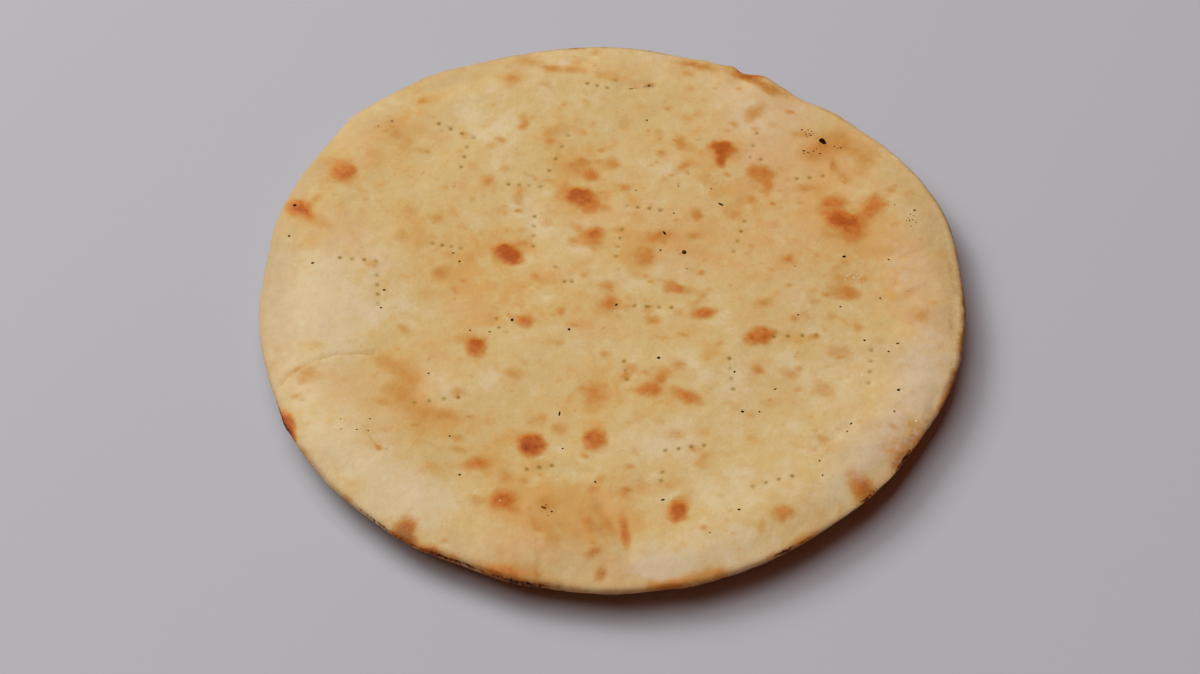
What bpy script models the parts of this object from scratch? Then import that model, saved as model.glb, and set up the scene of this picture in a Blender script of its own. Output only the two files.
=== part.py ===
"""Pogacha: one round docked flatbread with a puffed rim, as a single closed solid.

The bread rests on z = 0 with its outline centred on the origin. The viewer's side is -Y.
All plan positions and sizes below are millimetres and degrees; the mesh is in metres.
"""

import math
import random
from collections import namedtuple

import bmesh
import bpy
from mathutils import Vector
from mathutils.geometry import delaunay_2d_cdt

MM = 0.001

# Outline and section
RADIUS = 161.5
EDGE_HEIGHT = 14.8
CROWN_THICKNESS = 18.0
RIM_RAISE = 1.25
RIM_RAISE_INSET = 21.0
RIM_RAISE_WIDTH = 15.0
SHOULDER_WIDTH = 2.4
EDGE_DROP = 1.4
EDGE_DROP_WIDTH = 11.0
UNDERCUT_WIDTH = 30.0
UNDERCUT_CURVE = 1.4

# Fork pricks
PRICK_RADIUS = 1.3
PRICK_DEPTH = 1.4
PRICK_SIDES = 6
PRICK_CLEARANCE = 3.4

# Mesh density
SEGMENTS = 144
SHOULDER_ANGLES = (0.0, 15.0, 31.0, 48.0, 66.0)
UNDERCUT_ANGLES = (14.0, 34.0, 58.0, 90.0)
GRID_PITCH = 6.0
GRID_JITTER = 0.8
GRID_INSET = 3.0
SEED = 11

# The broad roll of the top that no single puff explains
ROLL_HEIGHT = 0.35
ROLL_WAVES = ((0.041, 0.017, 0.4), (-0.022, 0.046, 1.9), (0.063, -0.052, 3.1))

Lobe = namedtuple("Lobe", "bearing half_width height")
Swell = namedtuple("Swell", "x y half_x half_y turn height")
Fold = namedtuple("Fold", "points width depth")
Row = namedtuple("Row", "x y bearing count pitch")

# How far the outline swings out of a true circle
LOBES = (
    Lobe(8.0, 7.0, -0.9),
    Lobe(18.0, 14.0, 3.0),
    Lobe(47.0, 4.0, 1.2),
    Lobe(54.5, 3.0, -1.4),
    Lobe(51.0, 12.0, -4.4),
    Lobe(62.0, 2.5, 1.3),
    Lobe(65.8, 2.0, -1.2),
    Lobe(68.2, 1.2, 1.7),
    Lobe(73.0, 3.0, 1.0),
    Lobe(74.0, 13.0, -3.6),
    Lobe(121.0, 5.0, 1.1),
    Lobe(134.0, 20.0, 6.8),
    Lobe(137.0, 4.0, 1.4),
    Lobe(158.0, 11.0, 2.2),
    Lobe(164.0, 3.5, 0.8),
    Lobe(184.0, 9.0, 0.9),
    Lobe(206.0, 5.0, 1.2),
    Lobe(219.0, 13.0, 2.0),
    Lobe(237.0, 5.5, 1.5),
    Lobe(255.0, 5.0, 1.2),
    Lobe(269.0, 8.0, 1.2),
    Lobe(282.0, 3.5, 1.0),
    Lobe(307.0, 12.0, -3.2),
    Lobe(328.0, 13.0, -3.8),
    Lobe(318.0, 26.0, 1.3),
)

# How much higher or lower than usual the outline's own line stands
EDGE_LIFTS = (
    Lobe(0.0, 22.0, -0.8),
    Lobe(250.0, 34.0, -1.0),
    Lobe(318.0, 26.0, 1.4),
)

# Puffs and hollows of the top
SWELLS = (
    Swell(-126.0, -1.5, 24.0, 34.0, 0.0, 1.32),
    Swell(-118.0, -75.5, 26.0, 30.0, 30.0, 1.56),
    Swell(-88.0, -105.5, 24.0, 18.0, -40.0, 0.6),
    Swell(-16.0, -131.5, 11.0, 24.0, 5.0, -0.96),
    Swell(24.0, -144.5, 26.0, 10.0, 3.0, 0.9),
    Swell(138.0, -59.5, 12.0, 30.0, -24.0, 0.9),
    Swell(104.0, -101.5, 22.0, 13.0, 42.0, 0.6),
    Swell(140.0, 38.5, 13.0, 34.0, 8.0, 0.48),
    Swell(60.0, 120.5, 34.0, 14.0, -24.0, 0.59),
    Swell(-60.0, 130.5, 36.0, 14.0, 24.0, 0.48),
    Swell(-40.0, -17.5, 42.0, 34.0, 0.0, -0.59),
    Swell(52.0, 90.5, 8.0, 8.0, 0.0, 0.59),
    Swell(-16.0, 58.5, 10.0, 6.0, -20.0, 0.59),
    Swell(-49.0, 22.5, 8.0, 6.0, -30.0, 0.59),
    Swell(108.0, 46.5, 12.0, 10.0, 0.0, 0.48),
    Swell(67.0, -26.5, 7.0, 6.0, 0.0, 0.51),
    Swell(-62.0, -31.5, 7.0, 7.0, 0.0, 0.51),
    Swell(-36.0, -88.5, 8.0, 8.0, 0.0, 0.59),
    Swell(-9.0, -84.5, 7.0, 7.0, 0.0, 0.51),
    Swell(-48.0, -118.5, 7.0, 6.0, 0.0, 0.51),
    Swell(28.0, -124.5, 6.0, 7.0, 0.0, 0.51),
    Swell(-128.0, 74.5, 8.0, 10.0, 30.0, 0.51),
)

# Creases: where two puffs meet, or where the dough is turned over
FOLDS = (
    Fold(((-151.0, -54.5), (-139.0, -42.5), (-124.0, -36.0), (-108.0, -35.0)), 2.2, 0.5),
    Fold(((-108.0, -35.0), (-97.0, -45.5), (-88.0, -59.5)), 7.0, 0.54),
    Fold(((-30.0, -98.5), (-15.0, -101.0), (-8.0, -108.5), (-5.0, -119.5)), 3.4, 0.54),
    Fold(((-5.0, -119.5), (2.0, -131.5), (6.0, -144.5)), 3.4, 0.72),
    Fold(((-31.0, -145.5), (-31.5, -159.5)), 2.4, 0.36),
    Fold(((104.0, -75.5), (99.0, -80.5), (91.0, -87.5)), 2.8, 0.36),
    Fold(((-40.0, 151.5), (-29.0, 146.5), (-17.0, 146.0), (-11.0, 149.5)), 3.0, 0.72),
    Fold(((5.0, 130.5), (11.0, 131.0), (19.0, 134.5)), 2.2, 0.48),
    Fold(((142.0, -65.5), (146.0, -56.5), (151.0, -52.5)), 2.6, 0.54),
)

# Rows of fork pricks: first prick, heading of the row, how many, how far apart
ROWS = (
    Row(-83.0, 106.5, -27.0, 4, 6.3),
    Row(-69.0, 92.0, -101.0, 3, 6.5),
    Row(-12.0, 132.0, -15.0, 3, 5.0),
    Row(-21.0, 99.0, -112.0, 4, 7.9),
    Row(-49.0, 68.5, -5.0, 4, 5.0),
    Row(-36.5, 48.5, -91.0, 4, 6.0),
    Row(-83.5, 31.5, -11.0, 4, 4.4),
    Row(-126.0, 21.0, -4.0, 4, 5.6),
    Row(-108.5, 11.0, -86.0, 4, 5.6),
    Row(7.0, 54.5, -9.0, 4, 5.2),
    Row(4.5, 39.5, -100.0, 4, 5.6),
    Row(61.5, 45.0, -106.0, 4, 6.4),
    Row(69.0, 100.5, -104.0, 3, 7.6),
    Row(87.0, 72.5, 6.0, 3, 6.2),
    Row(10.0, -6.5, -4.0, 4, 5.6),
    Row(-53.0, -13.5, -78.0, 2, 5.3),
    Row(-88.5, -63.0, 9.0, 4, 6.5),
    Row(5.0, -38.5, -83.0, 3, 5.2),
    Row(52.5, -37.5, -86.0, 4, 5.8),
    Row(23.0, -89.0, 9.0, 4, 5.8),
    Row(-38.0, -99.0, 11.0, 3, 5.6),
    Row(73.0, -24.5, 5.0, 4, 6.5),
    Row(117.0, -32.0, -97.0, 4, 6.4),
    Row(61.0, -109.5, 16.0, 4, 6.0),
    Row(21.0, -105.5, 84.0, 2, 4.4),
    Row(-18.5, 8.0, 180.0, 2, 3.7),
    Row(2.0, 134.0, 0.0, 1, 1.0),
    Row(70.5, 84.5, 0.0, 1, 1.0),
    Row(-26.5, 17.0, 0.0, 1, 1.0),
)

CRUST_COLOUR = (0.60, 0.41, 0.19, 1.0)
CRUST_ROUGHNESS = 0.7


def lobes_sum(lobes, bearing):
    """Total of several lobes at a bearing in degrees."""
    total = 0.0
    for lobe in lobes:
        away = (bearing - lobe.bearing + 180.0) % 360.0 - 180.0
        total += lobe.height * math.exp(-((away / lobe.half_width) ** 2))
    return total


def outline_radius(bearing):
    """Plan radius of the bread at a bearing in degrees."""
    return RADIUS + lobes_sum(LOBES, bearing)


def inset(x, y):
    """How far inside the outline a plan position lies."""
    bearing = math.degrees(math.atan2(y, x))
    return outline_radius(bearing) - math.hypot(x, y)


def swell_height(swell, x, y):
    """Height one puff or hollow adds at a plan position."""
    turn = math.radians(swell.turn)
    dx, dy = x - swell.x, y - swell.y
    across = (dx * math.cos(turn) + dy * math.sin(turn)) / swell.half_x
    along = (dy * math.cos(turn) - dx * math.sin(turn)) / swell.half_y
    return swell.height * math.exp(-(across * across + along * along))


def distance_to_segment(x, y, start, end):
    """Distance in plan from a position to a straight stretch."""
    run_x, run_y = end[0] - start[0], end[1] - start[1]
    share = ((x - start[0]) * run_x + (y - start[1]) * run_y) / (run_x**2 + run_y**2)
    share = min(1.0, max(0.0, share))
    return math.hypot(x - start[0] - share * run_x, y - start[1] - share * run_y)


def fold_height(fold, x, y):
    """Height one crease takes away at a plan position."""
    pairs = zip(fold.points, fold.points[1:])
    away = min(distance_to_segment(x, y, start, end) for start, end in pairs)
    return -fold.depth * math.exp(-((away / fold.width) ** 2))


def crumb_height(x, y):
    """Height of the top before the shoulder rounds it off at the outline."""
    inside = inset(x, y)
    height = CROWN_THICKNESS
    height += RIM_RAISE * math.exp(-(((inside - RIM_RAISE_INSET) / RIM_RAISE_WIDTH) ** 2))
    height -= EDGE_DROP * math.exp(-((inside / EDGE_DROP_WIDTH) ** 2))
    height += sum(swell_height(swell, x, y) for swell in SWELLS)
    height += sum(fold_height(fold, x, y) for fold in FOLDS)
    for wave_x, wave_y, phase in ROLL_WAVES:
        height += ROLL_HEIGHT * math.sin(wave_x * x + wave_y * y + phase)
    return height


def edge_height(bearing):
    """Height of the outline's own line, which stands free of the table."""
    return EDGE_HEIGHT + lobes_sum(EDGE_LIFTS, bearing)


def top_height(x, y):
    """Height of the top of the bread anywhere inside the outline."""
    share = min(1.0, max(0.0, inset(x, y) / SHOULDER_WIDTH))
    rounding = math.sqrt(1.0 - (1.0 - share) ** 2)
    edge = edge_height(math.degrees(math.atan2(y, x)))
    return edge + (crumb_height(x, y) - edge) * rounding


def on_bearing(bearing, radius):
    """Plan position at a bearing and radius."""
    angle = math.radians(bearing)
    return radius * math.cos(angle), radius * math.sin(angle)


def prick_centres():
    """Plan positions of every fork prick."""
    centres = []
    for row in ROWS:
        step_x, step_y = on_bearing(row.bearing, row.pitch)
        for index in range(row.count):
            centres.append((row.x + index * step_x, row.y + index * step_y))
    return centres


def shoulder_rings():
    """Rings from the outline up over the shoulder, outermost first."""
    rings = []
    for angle in SHOULDER_ANGLES:
        depth = SHOULDER_WIDTH * (1.0 - math.cos(math.radians(angle)))
        ring = []
        for index in range(SEGMENTS):
            bearing = index * 360.0 / SEGMENTS
            x, y = on_bearing(bearing, outline_radius(bearing) - depth)
            ring.append((x, y, top_height(x, y)))
        rings.append(ring)
    return rings


def undercut_rings():
    """Rings from below the outline down to the edge of the flat base."""
    rings = []
    for angle in UNDERCUT_ANGLES:
        turn = math.radians(angle)
        depth = UNDERCUT_WIDTH * (1.0 - max(0.0, math.cos(turn)) ** UNDERCUT_CURVE)
        share = 1.0 - math.sin(turn) ** UNDERCUT_CURVE
        ring = []
        for index in range(SEGMENTS):
            bearing = index * 360.0 / SEGMENTS
            x, y = on_bearing(bearing, outline_radius(bearing) - depth)
            ring.append((x, y, share * edge_height(bearing)))
        rings.append(ring)
    return rings


def field_points(depth, centres):
    """Scattered positions that cover the top inside the last shoulder ring."""
    dice = random.Random(SEED)
    points = []
    row_pitch = GRID_PITCH * math.sqrt(3.0) / 2.0
    reach = int(1.1 * RADIUS / row_pitch)
    for row in range(-reach, reach + 1):
        for column in range(-reach, reach + 1):
            x = (column + 0.5 * (row % 2)) * GRID_PITCH + dice.uniform(-GRID_JITTER, GRID_JITTER)
            y = row * row_pitch + dice.uniform(-GRID_JITTER, GRID_JITTER)
            if inset(x, y) < depth + GRID_INSET:
                continue
            if all(math.hypot(x - cx, y - cy) > PRICK_CLEARANCE for cx, cy in centres):
                points.append((x, y, top_height(x, y)))
    return points


def prick_points(centres):
    """The lip and the floor of each prick."""
    points = []
    for cx, cy in centres:
        for side in range(PRICK_SIDES):
            dx, dy = on_bearing(side * 360.0 / PRICK_SIDES, PRICK_RADIUS)
            points.append((cx + dx, cy + dy, top_height(cx + dx, cy + dy)))
        points.append((cx, cy, top_height(cx, cy) - PRICK_DEPTH))
    return points


def cap_faces(points, border_count):
    """Triangles over scattered points, inside a border made of the first of them."""
    plan = [Vector((point[0], point[1])) for point in points]
    border = [list(range(border_count))]
    result = delaunay_2d_cdt(plan, [], border, 1, 1e-7)
    origin = [sources[0] for sources in result[3]]
    return [tuple(origin[corner] for corner in face) for face in result[2]]


def band_faces(first, second):
    """Quads between two rings given by the number of their first point."""
    faces = []
    for index in range(SEGMENTS):
        after = (index + 1) % SEGMENTS
        faces.append((first + index, first + after, second + after, second + index))
    return faces


def bread_mesh():
    """The whole bread as one closed skin."""
    under = undercut_rings()
    over = shoulder_rings()
    stack = under[::-1] + over
    vertices = [point for ring in stack for point in ring]
    faces = []
    for level in range(len(stack) - 1):
        faces += band_faces(level * SEGMENTS, (level + 1) * SEGMENTS)
    faces.append(tuple(reversed(range(SEGMENTS))))

    last_depth = SHOULDER_WIDTH * (1.0 - math.cos(math.radians(SHOULDER_ANGLES[-1])))
    centres = prick_centres()
    border = over[-1]
    inner = field_points(last_depth, centres) + prick_points(centres)
    border_start = (len(stack) - 1) * SEGMENTS
    inner_start = len(vertices)
    vertices += inner
    for face in cap_faces(border + inner, SEGMENTS):
        corners = []
        for corner in face:
            if corner < SEGMENTS:
                corners.append(border_start + corner)
            else:
                corners.append(inner_start + corner - SEGMENTS)
        faces.append(tuple(corners))

    mesh = bpy.data.meshes.new("bread")
    mesh.from_pydata([(x * MM, y * MM, z * MM) for x, y, z in vertices], [], faces)
    shape = bmesh.new()
    shape.from_mesh(mesh)
    bmesh.ops.recalc_face_normals(shape, faces=shape.faces)
    bmesh.ops.triangulate(shape, faces=shape.faces)
    shape.to_mesh(mesh)
    shape.free()
    return mesh


def crust_material():
    """Pale golden baked crust."""
    material = bpy.data.materials.new("crust")
    material.use_nodes = True
    shader = material.node_tree.nodes["Principled BSDF"]
    shader.inputs["Base Color"].default_value = CRUST_COLOUR
    shader.inputs["Roughness"].default_value = CRUST_ROUGHNESS
    return material


def main():
    for old in list(bpy.data.objects):
        bpy.data.objects.remove(old)
    bread = bpy.data.objects.new("bread", bread_mesh())
    bread.data.materials.append(crust_material())
    bpy.context.scene.collection.objects.link(bread)


main()
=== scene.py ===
"""Looks of a pogacha: a round, docked and puffed flatbread on a plain pale floor.

Plan positions and sizes are millimetres from the middle of the bread, with the viewer on the
-Y side; angles are degrees. Meshes are made in metres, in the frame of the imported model.
"""

from __future__ import annotations

import logging
import math
import random
from dataclasses import dataclass, field
from enum import Enum
from typing import Any, Callable, Iterable, Sequence

import bpy
import numpy as np
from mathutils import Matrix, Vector
from mathutils.geometry import delaunay_2d_cdt

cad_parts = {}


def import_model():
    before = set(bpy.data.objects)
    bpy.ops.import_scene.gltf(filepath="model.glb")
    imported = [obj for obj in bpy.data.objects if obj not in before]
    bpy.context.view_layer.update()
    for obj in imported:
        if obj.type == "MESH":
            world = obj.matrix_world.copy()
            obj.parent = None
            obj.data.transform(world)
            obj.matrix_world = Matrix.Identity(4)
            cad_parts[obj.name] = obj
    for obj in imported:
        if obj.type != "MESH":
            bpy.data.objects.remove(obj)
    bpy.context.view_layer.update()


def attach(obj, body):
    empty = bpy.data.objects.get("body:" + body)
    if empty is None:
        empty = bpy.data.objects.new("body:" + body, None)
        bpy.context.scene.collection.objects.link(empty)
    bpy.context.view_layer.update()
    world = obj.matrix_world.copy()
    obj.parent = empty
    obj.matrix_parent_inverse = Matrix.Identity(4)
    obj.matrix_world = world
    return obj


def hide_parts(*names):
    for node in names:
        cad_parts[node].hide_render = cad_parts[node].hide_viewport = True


LOG = logging.getLogger("pogacha")
MM = 0.001
ROOT_BODY = "root"
BREAD_NODE = "bread"
INSIDE_ONLY = 1
MERGE_DISTANCE = 1e-7

Array = np.ndarray
Colour = tuple[float, float, float]
Place = tuple[float, float]
Range = tuple[float, float]
Node = bpy.types.Node
Socket = bpy.types.NodeSocket
Material = bpy.types.Material


def srgb(red: int, green: int, blue: int) -> Colour:
    """Turns an eight-bit display colour into linear light.

    Args:
        red: Red from 0 to 255.
        green: Green from 0 to 255.
        blue: Blue from 0 to 255.

    Returns:
        The three linear components.
    """

    def linear(value: int) -> float:
        """Linear light of one component."""
        share = value / 255.0
        return share / 12.92 if share <= 0.04045 else ((share + 0.055) / 1.055) ** 2.4

    return linear(red), linear(green), linear(blue)


def table(kind: Callable[..., Any], *rows: tuple[float, ...]) -> tuple[Any, ...]:
    """Makes one thing of a kind from each row of its sizes, in the order of its fields."""
    return tuple(kind(*row) for row in rows)


def smoothstep(low: float, high: float, value: Array) -> Array:
    """Rises smoothly from 0 at low to 1 at high."""
    share = np.clip((value - low) / (high - low), 0.0, 1.0)
    return share * share * (3.0 - 2.0 * share)


def on_bearing(bearing: Array | float, radius: Array | float) -> tuple[Any, Any]:
    """Plan position at a bearing and radius."""
    angle = np.radians(bearing)
    return radius * np.cos(angle), radius * np.sin(angle)


def bearing_of(x: Array, y: Array) -> Array:
    """Bearing of each plan position."""
    return np.degrees(np.arctan2(y, x))


def bell_round(bearing: Array, middle: float, half_width: float) -> Array:
    """1 at the middle bearing, falling off like a bell to both sides."""
    away = (bearing - middle + 180.0) % 360.0 - 180.0
    return np.exp(-((away / half_width) ** 2))


@dataclass(frozen=True)
class Noise:
    """Seeded value noise over the plan, from -1 to 1."""

    cell: float
    seed: int
    octaves: int = 3
    gain: float = 0.5
    table_size: int = 128
    octave_shift: Place = (17.3, 5.9)

    def at(self, x: Array, y: Array) -> Array:
        """Samples the noise.

        Args:
            x: Plan positions across.
            y: Plan positions up.

        Returns:
            One value for each position.
        """
        entries = np.random.RandomState(self.seed).uniform(-1.0, 1.0, (self.table_size,) * 2)
        total = np.zeros_like(x, dtype=float)
        reach = 0.0
        shift_x, shift_y = self.octave_shift
        for octave in range(self.octaves):
            size = self.cell / 2.0**octave
            weight = self.gain**octave
            total += weight * self._layer(entries, x / size + shift_x * octave, y / size + shift_y * octave)
            reach += weight
        return total / reach

    def _layer(self, entries: Array, u: Array, v: Array) -> Array:
        """One octave: smooth interpolation between the entries of a square table.

        Args:
            entries: The table of random values.
            u: Positions across, in cells.
            v: Positions up, in cells.

        Returns:
            One value for each position.
        """
        column, row = np.floor(u).astype(int), np.floor(v).astype(int)
        across, up = u - column, v - row
        across = across * across * (3.0 - 2.0 * across)
        up = up * up * (3.0 - 2.0 * up)
        size = self.table_size
        left, right = column % size, (column + 1) % size
        low, high = row % size, (row + 1) % size
        bottom = entries[low, left] * (1.0 - across) + entries[low, right] * across
        top = entries[high, left] * (1.0 - across) + entries[high, right] * across
        return bottom * (1.0 - up) + top * up


@dataclass(frozen=True)
class Lobe:
    """A stretch where the outline swings out of or into a true circle."""

    bearing: float
    half_width: float
    height: float


def lobes_sum(lobes: Sequence[Lobe], bearing: Array) -> Array:
    """Adds up several lobes.

    Args:
        lobes: The lobes.
        bearing: The bearings.

    Returns:
        Their total height at each bearing.
    """
    total = np.zeros_like(bearing, dtype=float)
    for lobe in lobes:
        total += lobe.height * bell_round(bearing, lobe.bearing, lobe.half_width)
    return total


@dataclass(frozen=True)
class Patch:
    """A soft-edged oval on the plan, with a strength of any meaning."""

    x: float
    y: float
    half_x: float
    half_y: float
    strength: float
    turn: float = 0.0

    def reach(self, x: Array, y: Array) -> Array:
        """Distance from the middle as a share of the oval's own size.

        Args:
            x: Plan positions across.
            y: Plan positions up.

        Returns:
            The shares, 1 on the oval itself.
        """
        turn = math.radians(self.turn)
        dx, dy = x - self.x, y - self.y
        across = (dx * math.cos(turn) + dy * math.sin(turn)) / self.half_x
        along = (dy * math.cos(turn) - dx * math.sin(turn)) / self.half_y
        return np.sqrt(across * across + along * along)

    def bell(self, x: Array, y: Array) -> Array:
        """The strength, falling off like a bell."""
        return self.strength * np.exp(-self.reach(x, y) ** 2)


@dataclass(frozen=True)
class Fold:
    """A crease along a path."""

    points: tuple[Place, ...]
    width: float
    depth: float

    def away(self, x: Array, y: Array) -> Array:
        """Plan distance to the nearest stretch of the path.

        Args:
            x: Plan positions across.
            y: Plan positions up.

        Returns:
            One distance for each position.
        """
        nearest = np.full_like(x, np.inf, dtype=float)
        for start, end in zip(self.points, self.points[1:]):
            run_x, run_y = end[0] - start[0], end[1] - start[1]
            share = ((x - start[0]) * run_x + (y - start[1]) * run_y) / (run_x**2 + run_y**2)
            share = np.clip(share, 0.0, 1.0)
            gap = np.hypot(x - start[0] - share * run_x, y - start[1] - share * run_y)
            nearest = np.minimum(nearest, gap)
        return nearest

    def drop(self, x: Array, y: Array) -> Array:
        """Height the crease takes away."""
        return self.depth * np.exp(-((self.away(x, y) / self.width) ** 2))


@dataclass(frozen=True)
class Row:
    """A row of fork pricks: its first prick, its heading, how many and how far apart."""

    x: float
    y: float
    bearing: float = 0.0
    count: int = 1
    pitch: float = 1.0

    def centres(self) -> list[Place]:
        """Plan position of each prick."""
        step_x, step_y = on_bearing(self.bearing, self.pitch)
        return [(self.x + k * step_x, self.y + k * step_y) for k in range(self.count)]


@dataclass(frozen=True)
class Outline:
    """The bread's edge seen from above."""

    radius: float = 161.5
    ragged: float = 0.8
    ragged_noise: Noise = Noise(6.0, 61, 3, 0.6)
    lobes: tuple[Lobe, ...] = table(
        Lobe,
        (8, 7, -0.9), (18, 14, 3), (47, 4, 1.2), (54.5, 3, -1.4), (51, 12, -4.4), (62, 2.5, 1.3),
        (65.8, 2, -1.2), (68.2, 1.2, 1.7), (73, 3, 1), (74, 13, -3.6), (121, 5, 1.1), (134, 20, 6.8),
        (137, 4, 1.4), (158, 11, 2.2), (164, 3.5, 0.8), (184, 9, 0.9), (206, 5, 1.2), (219, 13, 2),
        (237, 5.5, 1.5), (255, 5, 1.2), (269, 8, 1.2), (282, 3.5, 1), (307, 12, -3.2), (328, 13, -3.8),
        (318, 26, 1.3),
    )
    height: float = 14.8
    lifts: tuple[Lobe, ...] = table(
        Lobe,
        (0, 22, -0.8), (250, 34, -1), (318, 26, 1.4),
    )

    def radius_at(self, bearing: Array) -> Array:
        """Plan radius of the edge.

        Args:
            bearing: The bearings.

        Returns:
            The radius at each.
        """
        x, y = on_bearing(bearing, self.radius)
        ragged = self.ragged * (0.5 + 0.5 * self.ragged_noise.at(x, y))
        return self.radius + lobes_sum(self.lobes, bearing) - ragged

    def height_at(self, bearing: Array) -> Array:
        """Height of the edge's own line at each bearing."""
        return self.height + lobes_sum(self.lifts, bearing)

    def inset(self, x: Array, y: Array) -> Array:
        """How far inside the edge each plan position lies."""
        return self.radius_at(bearing_of(x, y)) - np.hypot(x, y)


@dataclass(frozen=True)
class Relief:
    """The shape of the bread's skin, over and under."""

    outline: Outline = Outline()
    crown_thickness: float = 18.0
    rim_raise: float = 1.2
    rim_raise_inset: float = 21.0
    rim_raise_width: float = 15.0
    shoulder_width: float = 2.4
    edge_drop: float = 1.4
    edge_drop_width: float = 11.0
    undercut_width: float = 30.0
    undercut_curve: float = 1.4
    roll_height: float = 0.35
    roll_waves: tuple[tuple[float, float, float], ...] = (
        (0.041, 0.017, 0.4),
        (-0.022, 0.046, 1.9),
        (0.063, -0.052, 3.1),
    )
    swells: tuple[Patch, ...] = table(
        Patch,
        (-126, -1.5, 24, 34, 1.32), (-118, -75.5, 26, 30, 1.56, 30), (-88, -105.5, 24, 18, 0.6, -40),
        (-16, -131.5, 11, 24, -0.96, 5), (24, -144.5, 26, 10, 0.9, 3), (138, -59.5, 12, 30, 0.9, -24),
        (104, -101.5, 22, 13, 0.6, 42), (140, 38.5, 13, 34, 0.48, 8), (60, 120.5, 34, 14, 0.59, -24),
        (-60, 130.5, 36, 14, 0.48, 24), (-40, -17.5, 42, 34, -0.59),
    )
    folds: tuple[Fold, ...] = (
        Fold(((-152, -55.5), (-146, -46.5), (-136, -40), (-124, -35), (-108, -33.5)), 1.1, 0.34),
        Fold(((-154.5, -52.5), (-147.5, -43.5), (-137, -37.5), (-124.5, -32.5), (-108, -31)), 2, -0.1),
        Fold(((-108, -35), (-97, -45.5), (-88, -59.5)), 5, 0.5),
        Fold(((-30, -98.5), (-15, -101), (-8, -108.5), (-5, -119.5)), 3.4, 0.54),
        Fold(((-5, -119.5), (2, -131.5), (6, -144.5)), 3.4, 0.72),
        Fold(((-31, -145.5), (-31.5, -159.5)), 2.4, 0.36),
        Fold(((104, -75.5), (99, -80.5), (91, -87.5)), 2.8, 0.36),
        Fold(((-40, 151.5), (-29, 146.5), (-17, 146), (-11, 149.5)), 3, 0.72),
        Fold(((5, 130.5), (11, 131), (19, 134.5)), 2.2, 0.48),
        Fold(((142, -65.5), (146, -56.5), (151, -52.5)), 2.6, 0.54),
    )
    blister_raise: float = 0.4
    dough_noise: Noise = Noise(14.0, 21, 3)
    dough_noise_height: float = 0.28
    dough_noise_middle: float = 0.5
    pore_noise: Noise = Noise(3.4, 22, 2)
    pore_noise_height: float = 0.08
    crinkle: Noise = Noise(6.5, 23, 3, 0.6)
    crinkle_stretch: float = 0.62
    crinkle_height: float = 0.14
    crinkle_middle: float = 0.6
    crinkled: tuple[Patch, ...] = table(
        Patch,
        (134, -16, 20, 60, 0.5, -10), (112, 8, 10, 8, 0.3), (110, -84, 30, 16, 0.16, 42),
        (128, 60, 18, 26, 0.12, 20), (-24, -124, 26, 20, 0.14), (-96, -56, 18, 20, 0.12),
        (-106, -128, 30, 14, 0.14, -42), (0, 140, 60, 12, 0.1),
    )

    def crumb(self, x: Array, y: Array) -> Array:
        """Height of the top before the shoulder rounds it off.

        Args:
            x: Plan positions across.
            y: Plan positions up.

        Returns:
            The heights above the surface the bread rests on.
        """
        inset = self.outline.inset(x, y)
        ring = (inset - self.rim_raise_inset) / self.rim_raise_width
        height = self.crown_thickness + self.rim_raise * np.exp(-(ring**2))
        height = height - self.edge_drop * np.exp(-((inset / self.edge_drop_width) ** 2))
        for swell in self.swells:
            height = height + swell.bell(x, y)
        for fold in self.folds:
            height = height - fold.drop(x, y)
        for wave_x, wave_y, phase in self.roll_waves:
            height = height + self.roll_height * np.sin(wave_x * x + wave_y * y + phase)
        return height

    def crinkles(self, x: Array, y: Array) -> Array:
        """Height of the fine wrinkles that run across the bread, deeper where the skin dried.

        Args:
            x: Plan positions across.
            y: Plan positions up.

        Returns:
            What the wrinkles add to the top.
        """
        depth = np.full_like(x, self.crinkle_height, dtype=float)
        for patch in self.crinkled:
            depth = depth + patch.bell(x, y)
        return depth * (self.crinkle.at(x * self.crinkle_stretch, y) - self.crinkle_middle)

    def top(self, x: Array, y: Array, raised: Array | float = 0.0) -> Array:
        """Height of the top anywhere inside the edge.

        Args:
            x: Plan positions across.
            y: Plan positions up.
            raised: What blisters add, before the shoulder rounds it off.

        Returns:
            The heights above the surface the bread rests on.
        """
        share = np.clip(self.outline.inset(x, y) / self.shoulder_width, 0.0, 1.0)
        rounding = np.sqrt(1.0 - (1.0 - share) ** 2)
        skin = self.crumb(x, y) + raised
        skin = skin + self.dough_noise_height * (self.dough_noise.at(x, y) - self.dough_noise_middle)
        skin = skin + self.pore_noise_height * self.pore_noise.at(x, y)
        skin = skin + self.crinkles(x, y)
        edge = self.outline.height_at(bearing_of(x, y))
        return edge + (skin - edge) * rounding


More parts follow.
